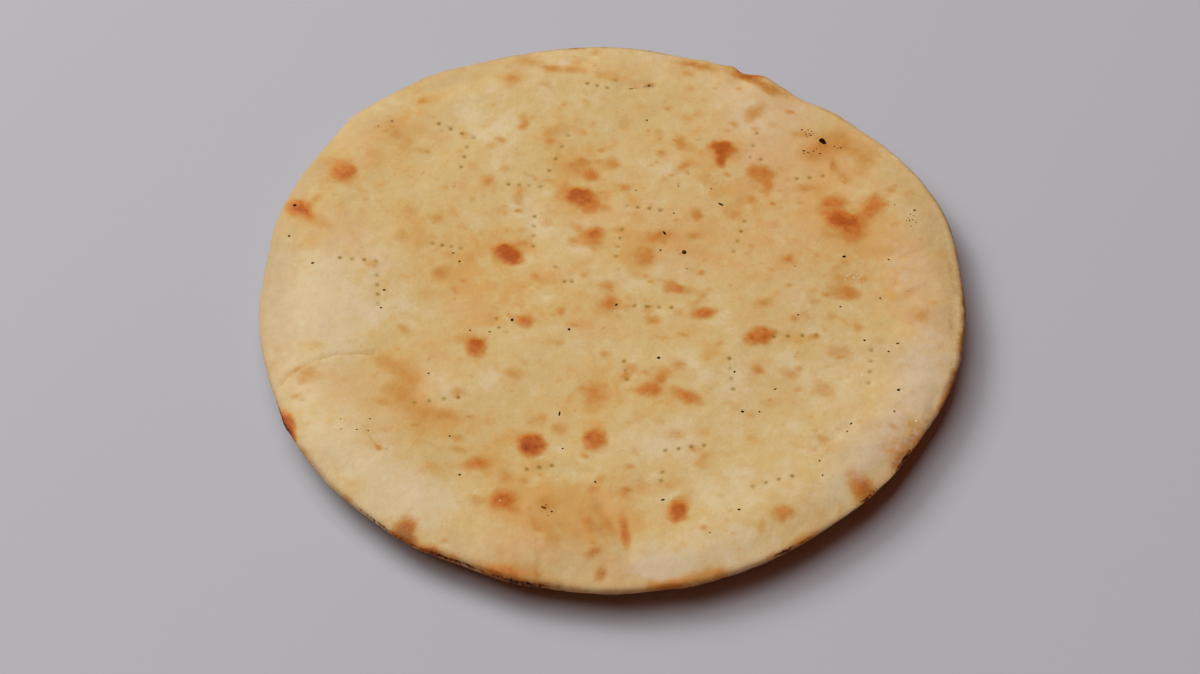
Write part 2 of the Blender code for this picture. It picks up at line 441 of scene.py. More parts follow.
@dataclass(frozen=True)
class Docking:
    """The rows of fork pricks that hold the middle of the bread down."""

    radius: float = 0.98
    depth: float = 0.16
    pull_radius: float = 2.6
    pull_depth: float = 0.06
    clearance: float = 2.3
    rings: tuple[tuple[float, int], ...] = ((0.5, 6), (1.0, 9), (1.7, 12))
    flat_share: float = 0.35
    hole_reach: float = 1.25
    pull_reach: float = 1.3
    mark_reach: float = 1.55
    rows: tuple[Row, ...] = table(
        Row,
        (-83, 107, -27, 4, 6.3), (-69, 92.5, -101, 3, 6.5), (-12, 132.5, -15, 3, 5),
        (-21, 99.5, -112, 4, 7.9), (-49, 69, -5, 4, 5), (-36.5, 49.5, -91, 4, 6),
        (-83.5, 32.5, -11, 4, 4.4), (-126, 22, -4, 4, 5.6), (-108.5, 12, -86, 4, 5.6),
        (7, 55, -9, 4, 5.2), (4.5, 40.5, -100, 4, 5.6), (61.5, 46, -106, 4, 6.4), (69, 101, -104, 3, 7.6),
        (87, 73, 6, 3, 6.2), (10, -5.5, -4, 4, 5.6), (-53, -12.5, -78, 2, 5.3), (-88.5, -62, 9, 4, 6.5),
        (5, -37.5, -83, 3, 5.2), (52.5, -36.5, -86, 4, 5.8), (23, -88, 9, 4, 5.8), (-38, -98, 11, 3, 5.6),
        (73, -23.5, 5, 4, 6.5), (117, -31, -97, 4, 6.4), (61, -108.5, 16, 4, 6), (21, -104.5, 84, 2, 4.4),
        (-18.5, 9, 180, 2, 3.7), (2, 134.5), (70.5, 85), (-26.5, 18),
    )

    def centres(self) -> list[Place]:
        """Plan position of every prick."""
        return [centre for row in self.rows for centre in row.centres()]


@dataclass(frozen=True)
class RimScorch:
    """A stretch of the edge that the oven has coloured."""

    bearing: float
    half_width: float
    inset: float
    spread: float
    strength: float

    def amount(self, bearing: Array, inset: Array) -> Array:
        """Strength of the colour.

        Args:
            bearing: The bearings.
            inset: How far inside the edge each position lies.

        Returns:
            The strength at each.
        """
        along = bell_round(bearing, self.bearing, self.half_width)
        return self.strength * along * np.exp(-(((inset - self.inset) / self.spread) ** 2))


@dataclass(frozen=True)
class Freckles:
    """Faint marks between the blisters, thick in the middle and thin at the rim."""

    count: int = 640
    reach: float = 156.0
    least_size: float = 0.9
    most_size: float = 4.4
    small_bias: float = 2.2
    least_strength: float = 0.12
    most_strength: float = 0.5
    turn: float = 60.0
    seed: int = 17
    sparse: float = 0.22
    flattest: float = 0.5
    roundest: float = 1.0
    beds: tuple[Patch, ...] = table(
        Patch,
        (10, 60, 60, 55, 0.9), (20, 0, 60, 40, 0.7), (95, 60, 40, 50, 0.7), (-60, 60, 40, 50, 0.35),
        (-20, -110, 40, 30, 0.5), (90, -60, 40, 40, 0.35),
    )
    clear: tuple[Patch, ...] = table(
        Patch,
        (-136, -8, 24, 40, 1), (-108, -100, 34, 24, 1, -42), (26, -146, 24, 9, 1, 4), (99, -58, 4, 4, 1),
        (-27, 35.5, 4, 4, 1), (-82, 124, 6, 5, 1),
    )

    def patches(self) -> list[Patch]:
        """Draws the freckles, the same ones each time, and leaves some places clear.

        Returns:
            The freckles as small patches.
        """
        dice = random.Random(self.seed)
        made: list[Patch] = []
        while len(made) < self.count:
            x = dice.uniform(-self.reach, self.reach)
            y = dice.uniform(-self.reach, self.reach)
            wanted = self.sparse + sum(float(bed.bell(x, y)) for bed in self.beds)
            if math.hypot(x, y) > self.reach or dice.random() > wanted:
                continue
            bias = dice.random() ** self.small_bias
            size = self.least_size + (self.most_size - self.least_size) * bias
            strength = dice.uniform(self.least_strength, self.most_strength)
            flat = dice.uniform(self.flattest, self.roundest)
            turn = dice.uniform(-self.turn, self.turn)
            made.append(Patch(x, y, size, size * flat, strength, turn))
        return [mark for mark in made if all(bare.reach(mark.x, mark.y) > 1.0 for bare in self.clear)]


@dataclass(frozen=True)
class Bake:
    """Where the crust is brown, golden, floury, grey or charred, and where shade is painted on it."""

    warp: tuple[Noise, Noise] = (Noise(6.0, 31, 3, 0.6), Noise(6.0, 32, 3, 0.6))
    warp_reach: float = 1.1
    edge_noise: Noise = Noise(3.0, 33, 2, 0.6)
    edge_noise_share: float = 0.2
    soft_core: float = 0.0
    firm_core: float = 0.5
    soft_fringe: float = 2.0
    firm_fringe: float = 1.5
    firm_gain: float = 2.0
    firm_from: float = 0.95
    halo_share: float = 0.35
    halo_reach: float = 2.0
    rim_noise: Noise = Noise(9.0, 34, 2, 0.6)
    rim_noise_range: Range = (-0.25, 0.45)
    rim_least: float = 0.08
    rim_ragged: float = 3.0
    freckles: Freckles = Freckles()
    smears: Freckles = Freckles(
        clear=(),
        count=520,
        least_size=2.0,
        most_size=8.0,
        least_strength=-0.5,
        most_strength=0.7,
        turn=70.0,
        seed=29,
        sparse=0.5,
        flattest=0.35,
        roundest=0.8,
    )
    broad_tone: Noise = Noise(30.0, 41, 2, 0.5)
    broad_tone_share: float = 0.34
    patchy_tone: Noise = Noise(11.0, 42, 3, 0.6)
    patchy_tone_share: float = 0.42
    middle_tone: float = 0.5
    nutty_noise_range: Range = (-0.5, 0.5)
    nutty_least: float = 0.4
    nutty_fineness: float = 1.7
    blisters: tuple[Patch, ...] = table(
        Patch,
        (52, 92.5, 6.4, 4.2, 1), (51.5, 87.5, 4.6, 4.6, 0.9), (51, 83, 2.6, 3.2, 0.8),
        (-15, 61, 9.5, 5.6, 0.95, -14), (-9.5, 53.5, 3.6, 3, 0.6), (-8.5, 37, 4.8, 5.4, 0.7),
        (-17, 33.5, 3.8, 3, 0.5, -30), (-10, 74.5, 3.6, 3.6, 0.65), (-17, 80.5, 6.6, 3.8, 0.5, 15),
        (-0.5, 82, 3.8, 3.6, 0.55), (-48.8, 26.8, 8.2, 5.4, 1, -40), (-42, 32.5, 3.4, 3.2, 0.5),
        (-59, 71.5, 3.4, 3.8, 0.5), (-42, 107.5, 2.9, 4.8, 0.4, 10), (-28, 102.5, 6.6, 3.8, 0.4, 25),
        (-58, 93.5, 2.8, 3, 0.3), (-48, 136, 5.4, 5.2, 0.5), (-40, 149, 7, 4, 0.45),
        (-29, 142.8, 4.4, 3.2, 0.58), (-19, 142, 4.8, 2.8, 0.45), (40, 147, 12, 2.6, 0.34, -14),
        (33, -156.5, 17, 2.8, 0.5, 13), (-127, 53, 3, 7, 0.22, 10), (-127, 75.5, 5.6, 5.4, 0.75),
        (-133.5, 73.5, 5, 5, 0.22), (-122, 67.5, 6, 4, 0.2, -30), (-133, 82.5, 6, 3.6, 0.35, -20),
        (-148, 54, 6, 4.6, 0.85, -30), (-139.5, 46, 9, 4, 0.44, -35), (-107, 105.5, 5.6, 4.2, 0.3, 25),
        (-97.5, 36.5, 3.4, 3.6, 0.38), (-79.5, 15, 4.2, 3.4, 0.5), (-76.5, 26, 3.2, 3.6, 0.3),
        (-66, 24, 2.4, 3, 0.3), (-62, -29.5, 4.6, 6.6, 0.85), (-68, -25.5, 6, 3, 0.35, -10),
        (-40, -14, 5, 3.6, 0.7, -20), (-45, -45.5, 3.8, 3.2, 0.48), (-8, -56.5, 6, 7.6, 0.55),
        (16.5, -54, 5.8, 4.2, 0.75), (33.5, -58.5, 6.2, 3.6, 0.75, -22), (-8.5, -81.5, 5.4, 5.8, 0.85),
        (-36.5, -84.5, 6.6, 6.6, 1), (-58.5, -95, 5.6, 3.6, 0.62), (-67, -96.5, 4.6, 2.4, 0.3),
        (-48, -115.5, 6, 5.6, 0.85), (28, -121.5, 4.6, 5.8, 0.9), (5, -132.5, 2.3, 8.8, 0.75, 6),
        (-8, -128.5, 8, 14, 0.3, 12), (-11, -130, 2.2, 7, 0.3, 12), (-2.5, -127, 2.4, 6, 0.34, 8),
        (-16, -133, 2, 4, 0.22, 20), (-30, -116, 12, 12, 0.14), (-44, -154, 13, 5, 0.6, -10),
        (-9, -143.5, 3.4, 2.4, 0.55, 30), (-5.5, -154, 2.4, 3.8, 0.55, -14),
        (-90.5, -129.6, 5, 6, 0.72, -20), (-89.5, -134.5, 4, 2, 0.6, -25), (-78, -141.5, 3.4, 3.6, 0.38),
        (-145.5, -75.5, 3.6, 8.6, 0.95, 12), (-138, -46.5, 5.4, 3.8, 0.42),
        (-102, -38, 5.2, 4, 0.46, -35), (-93, -47, 7, 4.6, 0.5, -40), (-96, -56, 8, 4.6, 0.45, -20),
        (-86, -66, 10, 4.4, 0.4, -15), (-74, -70, 7, 3.6, 0.42, 5), (-86, -80, 2.8, 8, 0.3),
        (-108, -62, 7, 4, 0.25), (14.2, 23.2, 5.4, 5.4, 0.65), (22.5, 36.5, 3.6, 3.8, 0.5),
        (39.2, 50, 3.1, 4.2, 0.66), (26.5, 6, 3.4, 4.2, 0.62), (34, 3.5, 4.8, 2.4, 0.4, -15),
        (41.5, -9.5, 4.6, 3, 0.72), (17.5, -14, 3.6, 2.8, 0.6), (-2, -3, 3.8, 3.6, 0.62),
        (-13, 13.5, 2.4, 2.4, 0.42), (-16, -7.5, 2.4, 2.6, 0.3), (-30, 9.5, 3.8, 2.8, 0.36),
        (65.5, -24, 6.6, 4.8, 0.8, 12), (70.5, 76, 6, 5, 0.62), (72.5, 69.5, 3.4, 6, 0.6, 10),
        (66.5, 79.5, 2.6, 2.6, 0.4), (61.5, 59, 5.6, 3, 0.36, 15), (31.5, 96.5, 2.9, 2.9, 0.42),
        (36, 81.5, 3.8, 3.4, 0.36), (6, 108.5, 2.9, 3.6, 0.32), (34, 112.5, 2.8, 3, 0.26),
        (25, 72.5, 2.9, 3, 0.26), (43, 71.5, 2.9, 3, 0.26), (103.5, 56.5, 6.6, 6.4, 0.74, 20),
        (105.5, 46, 7.2, 5.2, 1, -10), (112, 41.5, 7, 5.6, 0.72, 30), (121, 53.5, 5.4, 8.8, 0.68, -34),
        (110.5, 36, 4.6, 5, 0.55), (106.5, 2, 7.6, 3.8, 0.6), (127, -84, 9, 6, 0.42, 45),
        (103, 10.5, 4.6, 6, 0.3), (92.5, 67, 6.4, 3.2, 0.5), (95.5, 87, 6.6, 5, 0.5, -20),
        (99.5, 93, 3.4, 3, 0.5), (108, 93, 9, 6, 0.3), (108, 94.5, 6, 8, 0.32, 20),
        (119.5, 83.5, 5, 7.4, 0.42, -10), (104, 80.5, 2.2, 4.2, 0.5, -10),
        (108.5, 73.5, 2.6, 4.8, 0.45, 30), (140, -12, 5.6, 4.6, 0.5), (129, 26.5, 6.6, 2.2, 0.3),
        (63.5, -43.5, 4.8, 5.8, 0.28), (94.5, -53.5, 4.2, 4.6, 0.42), (101.5, -32, 5.8, 3.4, 0.42, 15),
        (87.5, -11, 6, 3, 0.3, 20), (76, 131.5, 11, 3.2, 0.55, -33), (64.5, 139, 7, 2.8, 0.6, -24),
        (-103.5, -89, 1.6, 1.6, 0.55), (112, 12, 7, 4.6, 0.26), (40, -92, 2.4, 4.4, 0.4, -35),
        (68.5, -4, 4.6, 2.8, 0.5, 15), (72, -123.5, 4.4, 3.8, 0.48), (64, -130.5, 1.9, 3.8, 0.36, -10),
        (108, -107.5, 4.6, 7.4, 0.72, 15), (83.5, -135, 5, 2.6, 0.5, 30), (96, -87.5, 5.6, 3.6, 0.26, 30),
        (13, -107.5, 4.8, 4.2, 0.28), (9, -87.5, 2.8, 2.6, 0.26), (-36, -71.5, 3.6, 3, 0.36),
        (-35, -128.5, 2.2, 5, 0.32, 10), (-25.5, -134, 4.5, 7, 0.3),
    )
    rims: tuple[RimScorch, ...] = table(
        RimScorch,
        (62, 9, 1, 4.5, 0.75), (76, 5, 3, 4.5, 0.5), (50, 6, 0.5, 2.4, 0.5), (92, 8, 0.3, 2, 0.8),
        (112, 14, 0, 1.6, 0.35), (18, 20, 0, 1.6, 0.5), (208, 4, 0.5, 3, 1), (222, 9, 0, 1.5, 0.55),
        (237, 8, 0, 2, 0.9), (251, 7, 0.5, 4.5, 0.85), (279, 15, 0.5, 4, 0.5), (299, 9, 0, 2.4, 0.28),
        (313, 4, 1, 3.5, 0.6), (324, 4, 2, 3.5, 0.95), (336, 9, 0, 2.2, 0.6), (352, 12, 0, 2.4, 0.7),
    )
    chars: tuple[RimScorch, ...] = table(
        RimScorch,
        (205.5, 4, 0.1, 0.5, 0.75), (231, 5, 0.3, 0.4, 0.55), (243, 7, 0.3, 0.4, 0.68),
        (256, 6, 0.2, 0.45, 0.72), (297.3, 2.2, 0.5, 0.6, 0.8), (301.5, 1.6, 0.4, 0.4, 0.5),
        (314.5, 2.6, 0.6, 0.8, 0.7), (324, 3.2, 0.5, 0.7, 0.85), (342, 9, 0, 0.4, 0.5),
        (92, 10, 0.3, 0.6, 0.55), (64, 8, 0.6, 0.7, 0.5),
    )
    tints: tuple[Patch, ...] = table(
        Patch,
        (-136, -12, 24, 28, -0.75), (-130, -31, 16, 10, -0.6, 18), (-156, -14, 8, 36, -0.35),
        (-72, -60, 10, 10, -0.35), (-98, -115, 12, 10, -0.3), (71, 116, 12, 9, -0.35),
        (-40, 29, 9, 7, 0.6), (103, 91, 13, 9, 0.5), (32, 116, 11, 9, 0.4),
        (-128, -77.5, 24, 26, -0.25, 30), (-84, -115.5, 26, 16, -0.45, -40), (28, -145.5, 40, 12, -0.7),
        (98, -106, 36, 16, -0.6, 42), (140, -44, 16, 46, -0.5, -22), (-104, -100, 34, 16, -0.5, -44),
        (-97, 12, 16, 40, -0.35), (104, -26, 20, 22, -0.35), (38, -112, 26, 12, -0.45),
        (24, -81.5, 34, 12, -0.4, 5), (-36, 42.5, 8, 30, -0.2), (-15, 84.5, 14, 26, 0.3, -10),
        (-40, 112, 20, 40, -0.2), (-96, 94.5, 26, 22, 0.25), (-84, 42.5, 16, 30, 0.2, 10),
        (-94, -54, 10, 24, 0.55, 22), (-70, -72, 20, 8, 0.5), (-24, -122, 28, 20, 0.75, -8),
        (-66, 10, 15, 30, 0.4), (-6, 30, 12, 10, -0.25), (-6, -26, 12, 10, -0.3), (-42, 62, 12, 14, -0.4),
        (-42, 4, 12, 10, 0.3), (-74, -25, 12, 10, 0.25), (-74, 116, 14, 12, -0.3),
        (67, 106, 15, 20, -0.5), (31, 34, 12, 10, 0.5), (126, 34, 12, 12, 0.35), (98, -56, 14, 10, -0.5),
        (67, -84, 12, 10, -0.3), (138, -12, 18, 26, 0.4), (-12, -56, 16, 12, 0.3), (56, 38, 32, 22, 0.4),
        (84, 30, 26, 24, 0.25), (110, 86.5, 18, 18, 0.5), (68, 128, 26, 12, -0.3, -24),
    )
    flour: tuple[Patch, ...] = table(
        Patch,
        (138, -46, 14, 34, 0.5, -20), (112, -92, 24, 12, 0.4, 45), (136, 16, 14, 30, 0.3),
        (-128, 24.5, 12, 20, 0.3), (-118, -57.5, 22, 14, 0.25), (16, 150.5, 20, 6, 0.3),
        (24, -151, 20, 6, 0.35), (20.5, -151, 10, 5, 1), (-23.5, 147.6, 3.4, 3.4, 0.5),
    )
    # Grey patches: some are the skin's own grey, the rest are painted shade where the shape turns from the
    # light.
    dull: tuple[Patch, ...] = table(
        Patch,
        (-153, 24, 11, 32, 0.6, -8), (-152, -22, 11, 36, 0.5, 6), (-79, 136, 20, 7, 0.6, 28),
        (-112, 111, 20, 7, 0.5, 45), (-139, 76, 16, 8, 0.55, 60), (-126, -92, 14, 9, 0.45, -34),
        (-6, -140, 22, 16, 0.5), (-42, -152, 18, 7, 0.5, -8), (-71, -138, 16, 8, 0.4, -20),
        (122, -90, 16, 16, 0.45), (98, -90, 12, 10, 0.35), (125, -34, 14, 16, 0.35),
        (-45, 145, 22, 8, 0.45, 8), (106, 88, 14, 12, 0.25), (154, 26, 8, 34, 0.3, 6),
        (136, -38, 9, 10, 0.6), (150, -12, 6, 12, 0.4),
    )
    # A line of painted shade all round the edge, where the top turns down.
    rim_shade: float = 0.6
    rim_shade_width: float = 2.4
    nutty_rims: tuple[RimScorch, ...] = table(
        RimScorch,
        (0, 16, 0, 2.4, 1.1), (30, 20, 0, 2, 0.45), (60, 12, 2, 2.4, 0.3), (90, 16, 0, 2.4, 1),
        (130, 32, 0, 2.2, 0.45), (175, 22, 0, 1.6, 0.3), (215, 18, 0, 2.2, 0.45), (242, 9, 1, 3.2, 0.9),
        (262, 16, 0.5, 2.8, 0.7), (315, 3.4, 1.2, 2, 0.8), (330, 5, 3.6, 3.6, 1.1),
        (345, 12, 0.5, 2.8, 1),
    )
    nutty: tuple[Patch, ...] = table(
        Patch,
        (-90.5, -129.6, 5, 5.8, 0.8, -20), (-89, -135.5, 4.2, 2, 0.6, -25),
        (-9, -143.5, 3.6, 2.4, 0.75, 30), (-5.5, -154, 2.4, 3.8, 0.75, -14),
        (-6.5, -131, 2.2, 5.4, 0.5, 10), (4.5, -132.5, 2.2, 7, 0.6, 6), (-10, -128, 1.6, 7, 0.4, 6),
        (-15, -122, 1.6, 5, 0.3, 14), (-25.5, -133, 3.6, 6, 0.3), (-35, -128, 1.6, 4.4, 0.35, 10),
        (-22, -116, 6, 1.6, 0.25, -30), (17.8, 131.6, 2.8, 2.2, 0.8), (11.6, 130.2, 7.4, 0.9, 0.7, 8),
        (-105.5, 108.5, 2.6, 2.4, 0.5), (-112, 105.5, 3.4, 2.4, 0.45), (-77.5, 104.5, 2.2, 2.2, 0.65),
        (-66.5, 99, 2, 2.2, 0.6), (-83, 107.5, 1.8, 2, 0.5), (-33.5, 68.5, 1.6, 1.6, 0.5),
        (-38, 69, 1.4, 1.4, 0.4), (22.5, 52.5, 1.8, 1.8, 0.5), (17.5, 53.5, 1.6, 1.6, 0.4),
        (40, 147, 12, 2, 0.4, -14), (33, -158, 16, 1.6, 0.5, 13), (-24, 141.5, 10, 1.4, 0.35),
        (-21, -128, 4, 3, 0.3, -20), (126.5, -93, 6.4, 2.8, 1.2, 52), (109.5, -108.5, 4, 3, 0.6, 45),
        (76, 131.5, 11, 2.8, 0.45, -33), (64.5, 139, 7, 2.4, 0.4, -24), (99.5, 93, 3, 3, 0.5),
        (95.5, 87, 5, 3.6, 0.4, -20), (104, 80.5, 1.6, 3.8, 0.6, -10), (108.5, 73.5, 1.8, 4.2, 0.5, 30),
        (13, -105.5, 4.4, 3.8, 0.35), (-146, -80, 2, 8, 0.6, 14), (153.5, -14, 2.4, 16, 0.5, -4),
        (156, 16, 1.8, 22, 0.5, 5), (101.5, -32, 5, 3, 0.35, 15), (-120, -118.5, 4, 2.6, 0.4, 45),
    )
    # Brown painted along the creases of the folds: painted crease shade.
    crease_shade_lines: tuple[Fold, ...] = (
        Fold(((-149, -51.5), (-145.5, -46), (-136, -39.8), (-124, -34.8), (-108, -33.2)), 0.8, 0.28),
        Fold(((-34, -136), (-33, -146), (-33.5, -158)), 0.8, 0.2),
        Fold(((-111, -76), (-108, -82), (-103.5, -89)), 0.7, 0.3),
    )
    blush_noise: Noise = Noise(17.0, 51, 3, 0.55)
    blush_noise_share: float = 0.5
    blush: tuple[Patch, ...] = table(
        Patch,
        # The first patch paints a dimple by the left rim pinkish tan: partly its colour, partly painted
        # shade.
        (-122, 34, 14, 16, 0.7, 20), (31, 34, 14, 12, 0.3), (148, -2, 10, 30, 0.3),
        (-122, -50, 18, 9, 0.45, 20), (-96, -56, 16, 22, 0.35), (-44, -140, 40, 14, 0.4, -12),
        (90, -138, 24, 10, 0.3, 30), (134, -56, 16, 34, 0.3, -24), (136, 30, 18, 50, 0.35, 8),
        (84, 92, 46, 36, 0.5, -20), (72, 126, 30, 10, 0.4, -24), (-10, 146, 50, 8, 0.35),
        (82, 36, 34, 26, 0.35), (-104, 104, 16, 8, 0.5, 30), (-70, 72, 44, 52, -0.35),
        (10, -68, 60, 36, -0.35), (-10, 118, 60, 18, -0.3), (-140, 0, 24, 30, -0.2),
        (-110, -104, 40, 20, -0.15, -42),
    )

    def browning(self, x: Array, y: Array, inset: Array) -> Array:
        """How brown each position is, with painted shade along the creases.

        Args:
            x: Plan positions across.
            y: Plan positions up.
            inset: How far inside the edge each lies.

        Returns:
            A share from 0, pale, to about 1, dark brown.
        """
        ragged = self.edge_noise_share * self.edge_noise.at(x, y)
        warped_x = x + self.warp_reach * self.warp[0].at(x, y)
        warped_y = y + self.warp_reach * self.warp[1].at(x, y)
        bare = np.ones_like(x, dtype=float)
        for blister in (*self.blisters, *self.freckles.patches()):
            firmness = min(1.0, max(0.0, self.firm_gain * blister.strength - self.firm_from))
            core = self.soft_core + (self.firm_core - self.soft_core) * firmness
            fringe = self.soft_fringe + (self.firm_fringe - self.soft_fringe) * firmness
            reach = blister.reach(warped_x, warped_y) + ragged
            bare = bare * (1.0 - blister.strength * (1.0 - smoothstep(core, fringe, reach)))
        # Painted crease shade darkens the browning along the creases.
        for line in self.crease_shade_lines:
            bare = bare * (1.0 - line.drop(warped_x, warped_y))
        bearing = bearing_of(x, y)
        patchy = smoothstep(*self.rim_noise_range, self.rim_noise.at(x, y))
        patchy = self.rim_least + (1.0 - self.rim_least) * patchy
        for rim in self.rims:
            bare = bare * (1.0 - patchy * rim.amount(bearing, inset + self.rim_ragged * ragged))
        return 1.0 - bare

    def greyness_and_shade(self, x: Array, y: Array, inset: Array) -> Array:
        """How grey each position is: grey patches that are partly painted shade, and a line of painted shade
        all round the rim.
        """
        line = self.rim_shade * np.exp(-((inset / self.rim_shade_width) ** 2))
        return self.sum_of(self.dull, x, y) + line

    def nuttiness(self, x: Array, y: Array, inset: Array) -> Array:
        """How nut-brown, rather than orange, each position is.

        Args:
            x: Plan positions across.
            y: Plan positions up.
            inset: How far inside the edge each lies.

        Returns:
            A share from 0, orange, to about 1, nut-brown.
        """
        bearing = bearing_of(x, y)
        line = sum(rim.amount(bearing, inset) for rim in self.nutty_rims)
        fine = self.patchy_tone.at(x * self.nutty_fineness, y * self.nutty_fineness)
        patchy = self.nutty_least + (1.0 - self.nutty_least) * smoothstep(*self.nutty_noise_range, fine)
        return self.sum_of(self.nutty, x, y) + line * patchy

    def tone(self, x: Array, y: Array) -> Array:
        """How golden the dough itself is.

        Args:
            x: Plan positions across.
            y: Plan positions up.

        Returns:
            A tone from pale, below 0, to deep gold, above 1.
        """
        mottle = self.broad_tone_share * self.broad_tone.at(x, y)
        mottle = mottle + self.patchy_tone_share * self.patchy_tone.at(x, y)
        halo = np.zeros_like(x, dtype=float)
        for blister in self.blisters:
            halo += blister.strength * np.exp(-((blister.reach(x, y) / self.halo_reach) ** 2))
        mottle = mottle + self.sum_of(self.smears.patches(), x, y)
        return self.middle_tone + mottle + self.halo_share * halo + self.sum_of(self.tints, x, y)

    def flush(self, x: Array, y: Array) -> Array:
        """How pink the dough is, from greenish below 0 to peach at 1."""
        return self.blush_noise_share * self.blush_noise.at(x, y) + self.sum_of(self.blush, x, y)

    def sum_of(self, patches: Iterable[Patch], x: Array, y: Array) -> Array:
        """Adds up several soft patches.

        Args:
            patches: The patches.
            x: Plan positions across.
            y: Plan positions up.

        Returns:
            Their total at each position.
        """
        total = np.zeros_like(x, dtype=float)
        for patch in patches:
            total += patch.bell(x, y)
        return total


class SocketKind(Enum):
    """Kinds of named inputs on a geometry tree."""

    LENGTH = "NodeSocketFloat"
    COUNT = "NodeSocketInt"
    OBJECT = "NodeSocketObject"
    MATERIAL = "NodeSocketMaterial"
    GEOMETRY = "NodeSocketGeometry"


@dataclass
class Graph:
    """A thin wrapper that adds and links nodes in one tree."""

    tree: bpy.types.NodeTree
    step: float = 180.0
    count: int = 0

    def add(self, kind: str, values: dict[Any, Any] | None = None, **settings: Any) -> Node:
        """Adds a node.

        Args:
            kind: The node's type name.
            values: Input values by socket name or number.
            settings: Attributes of the node itself.

        Returns:
            The new node.
        """
        node = self.tree.nodes.new(kind)
        node.location = (self.step * self.count, 0.0)
        self.count += 1
        for name, value in settings.items():
            setattr(node, name, value)
        for key, value in (values or {}).items():
            if isinstance(value, Socket):
                self.tree.links.new(value, node.inputs[key])
            else:
                node.inputs[key].default_value = value
        return node

    def link(self, source: Socket, target: Socket) -> None:
        """Links two sockets."""
        self.tree.links.new(source, target)

    def maths(self, operation: str, first: Any, second: Any = 0.0, third: Any = 0.0) -> Socket:
        """Adds a Math node and returns its result."""
        node = self.add("ShaderNodeMath", {0: first, 1: second, 2: third}, operation=operation)
        return node.outputs[0]

    def vector_maths(self, operation: str, values: dict[Any, Any]) -> Socket:
        """Adds a Vector Math node and returns its result."""
        return self.add("ShaderNodeVectorMath", values, operation=operation).outputs[0]

    def ramp(self, value: Any, low: float, high: float, to_low: float = 0.0, to_high: float = 1.0) -> Socket:
        """Maps a value smoothly from one range to another and returns the result."""
        node = self.add(
            "ShaderNodeMapRange",
            {"Value": value, "From Min": low, "From Max": high, "To Min": to_low, "To Max": to_high},
            interpolation_type="SMOOTHSTEP",
        )
        return node.outputs["Result"]


@dataclass
class ShaderGraph(Graph):
    """A material's tree with the mixes that baked crusts need."""

    def noise(self, where: Socket, size_mm: float, detail: float, rough: float = 0.5) -> Socket:
        """Adds noise whose features are about size_mm across and returns its value."""
        node = self.add(
            "ShaderNodeTexNoise",
            {"Vector": where, "Scale": 1.0 / (size_mm * MM), "Detail": detail, "Roughness": rough},
        )
        return node.outputs["Fac"]

    def mask(self, mask: Mask) -> Socket:
        """Reads one of the piece's own attributes."""
        return self.add("ShaderNodeAttribute", attribute_name=mask.value).outputs["Fac"]

    def swing(self, noise: Socket, share: float, base: Any = 0.0) -> Socket:
        """Adds a share of how far noise stands above or below its middle to a base."""
        return self.maths("MULTIPLY_ADD", self.maths("SUBTRACT", noise, 0.5), share, base)

    def lay(self, coat: Coat, value: Socket, under: Any) -> Socket:
        """Lays a coat over the colour under it and returns the result."""
        return self.mix(self.ramp(value, coat.low, coat.high, 0.0, coat.most), under, coat.tone)

    def bump(self, height: Socket, depth_mm: float) -> Socket:
        """Turns a height into bumps this deep and returns their normal."""
        values = {"Strength": 1.0, "Distance": depth_mm * MM, "Height": height}
        return self.add("ShaderNodeBump", values).outputs["Normal"]

    def mix(self, share: Any, under: Any, over: Any) -> Socket:
        """Mixes two colours and returns the result.

        Args:
            share: How much of the second colour shows.
            under: First colour, as a socket or three numbers.
            over: Second colour, as a socket or three numbers.

        Returns:
            The mixed colour.
        """
        node = self.add("ShaderNodeMix", data_type="RGBA")
        for key, value in ((0, share), (6, under), (7, over)):
            if isinstance(value, Socket):
                self.link(value, node.inputs[key])
            elif isinstance(value, tuple):
                node.inputs[key].default_value = (*value, 1.0)
            else:
                node.inputs[key].default_value = value
        return node.outputs[2]


class Mask(Enum):
    """Attributes that the crust's mesh carries for its finish."""

    BROWNING = "browning"
    GILDING = "gilding"
    FLOUR = "flour"
    BLUSH = "blush"
    CHAR = "char"
    # Grey patches and a rim line, partly painted shade.
    DULL_AND_SHADE = "dull"
    NUTTY = "nutty"
    PRICK = "prick"
    UNDERSIDE = "underside"


@dataclass(frozen=True)
class Coat:
    """A colour that covers those below it where a value is high, from low to high."""

    tone: Colour
    low: float
    high: float
    most: float = 1.0


def new_finish(name: str, roughness: float, specular: float) -> tuple[Material, Node]:
    """Starts a material.

    Args:
        name: The material's name.
        roughness: How rough it is all over.
        specular: How strongly it mirrors all over.

    Returns:
        The material and its shader.
    """
    material = bpy.data.materials.new(name)
    material.use_nodes = True
    shader = material.node_tree.nodes["Principled BSDF"]
    shader.inputs["Roughness"].default_value = roughness
    shader.inputs["Specular IOR Level"].default_value = specular
    return material, shader


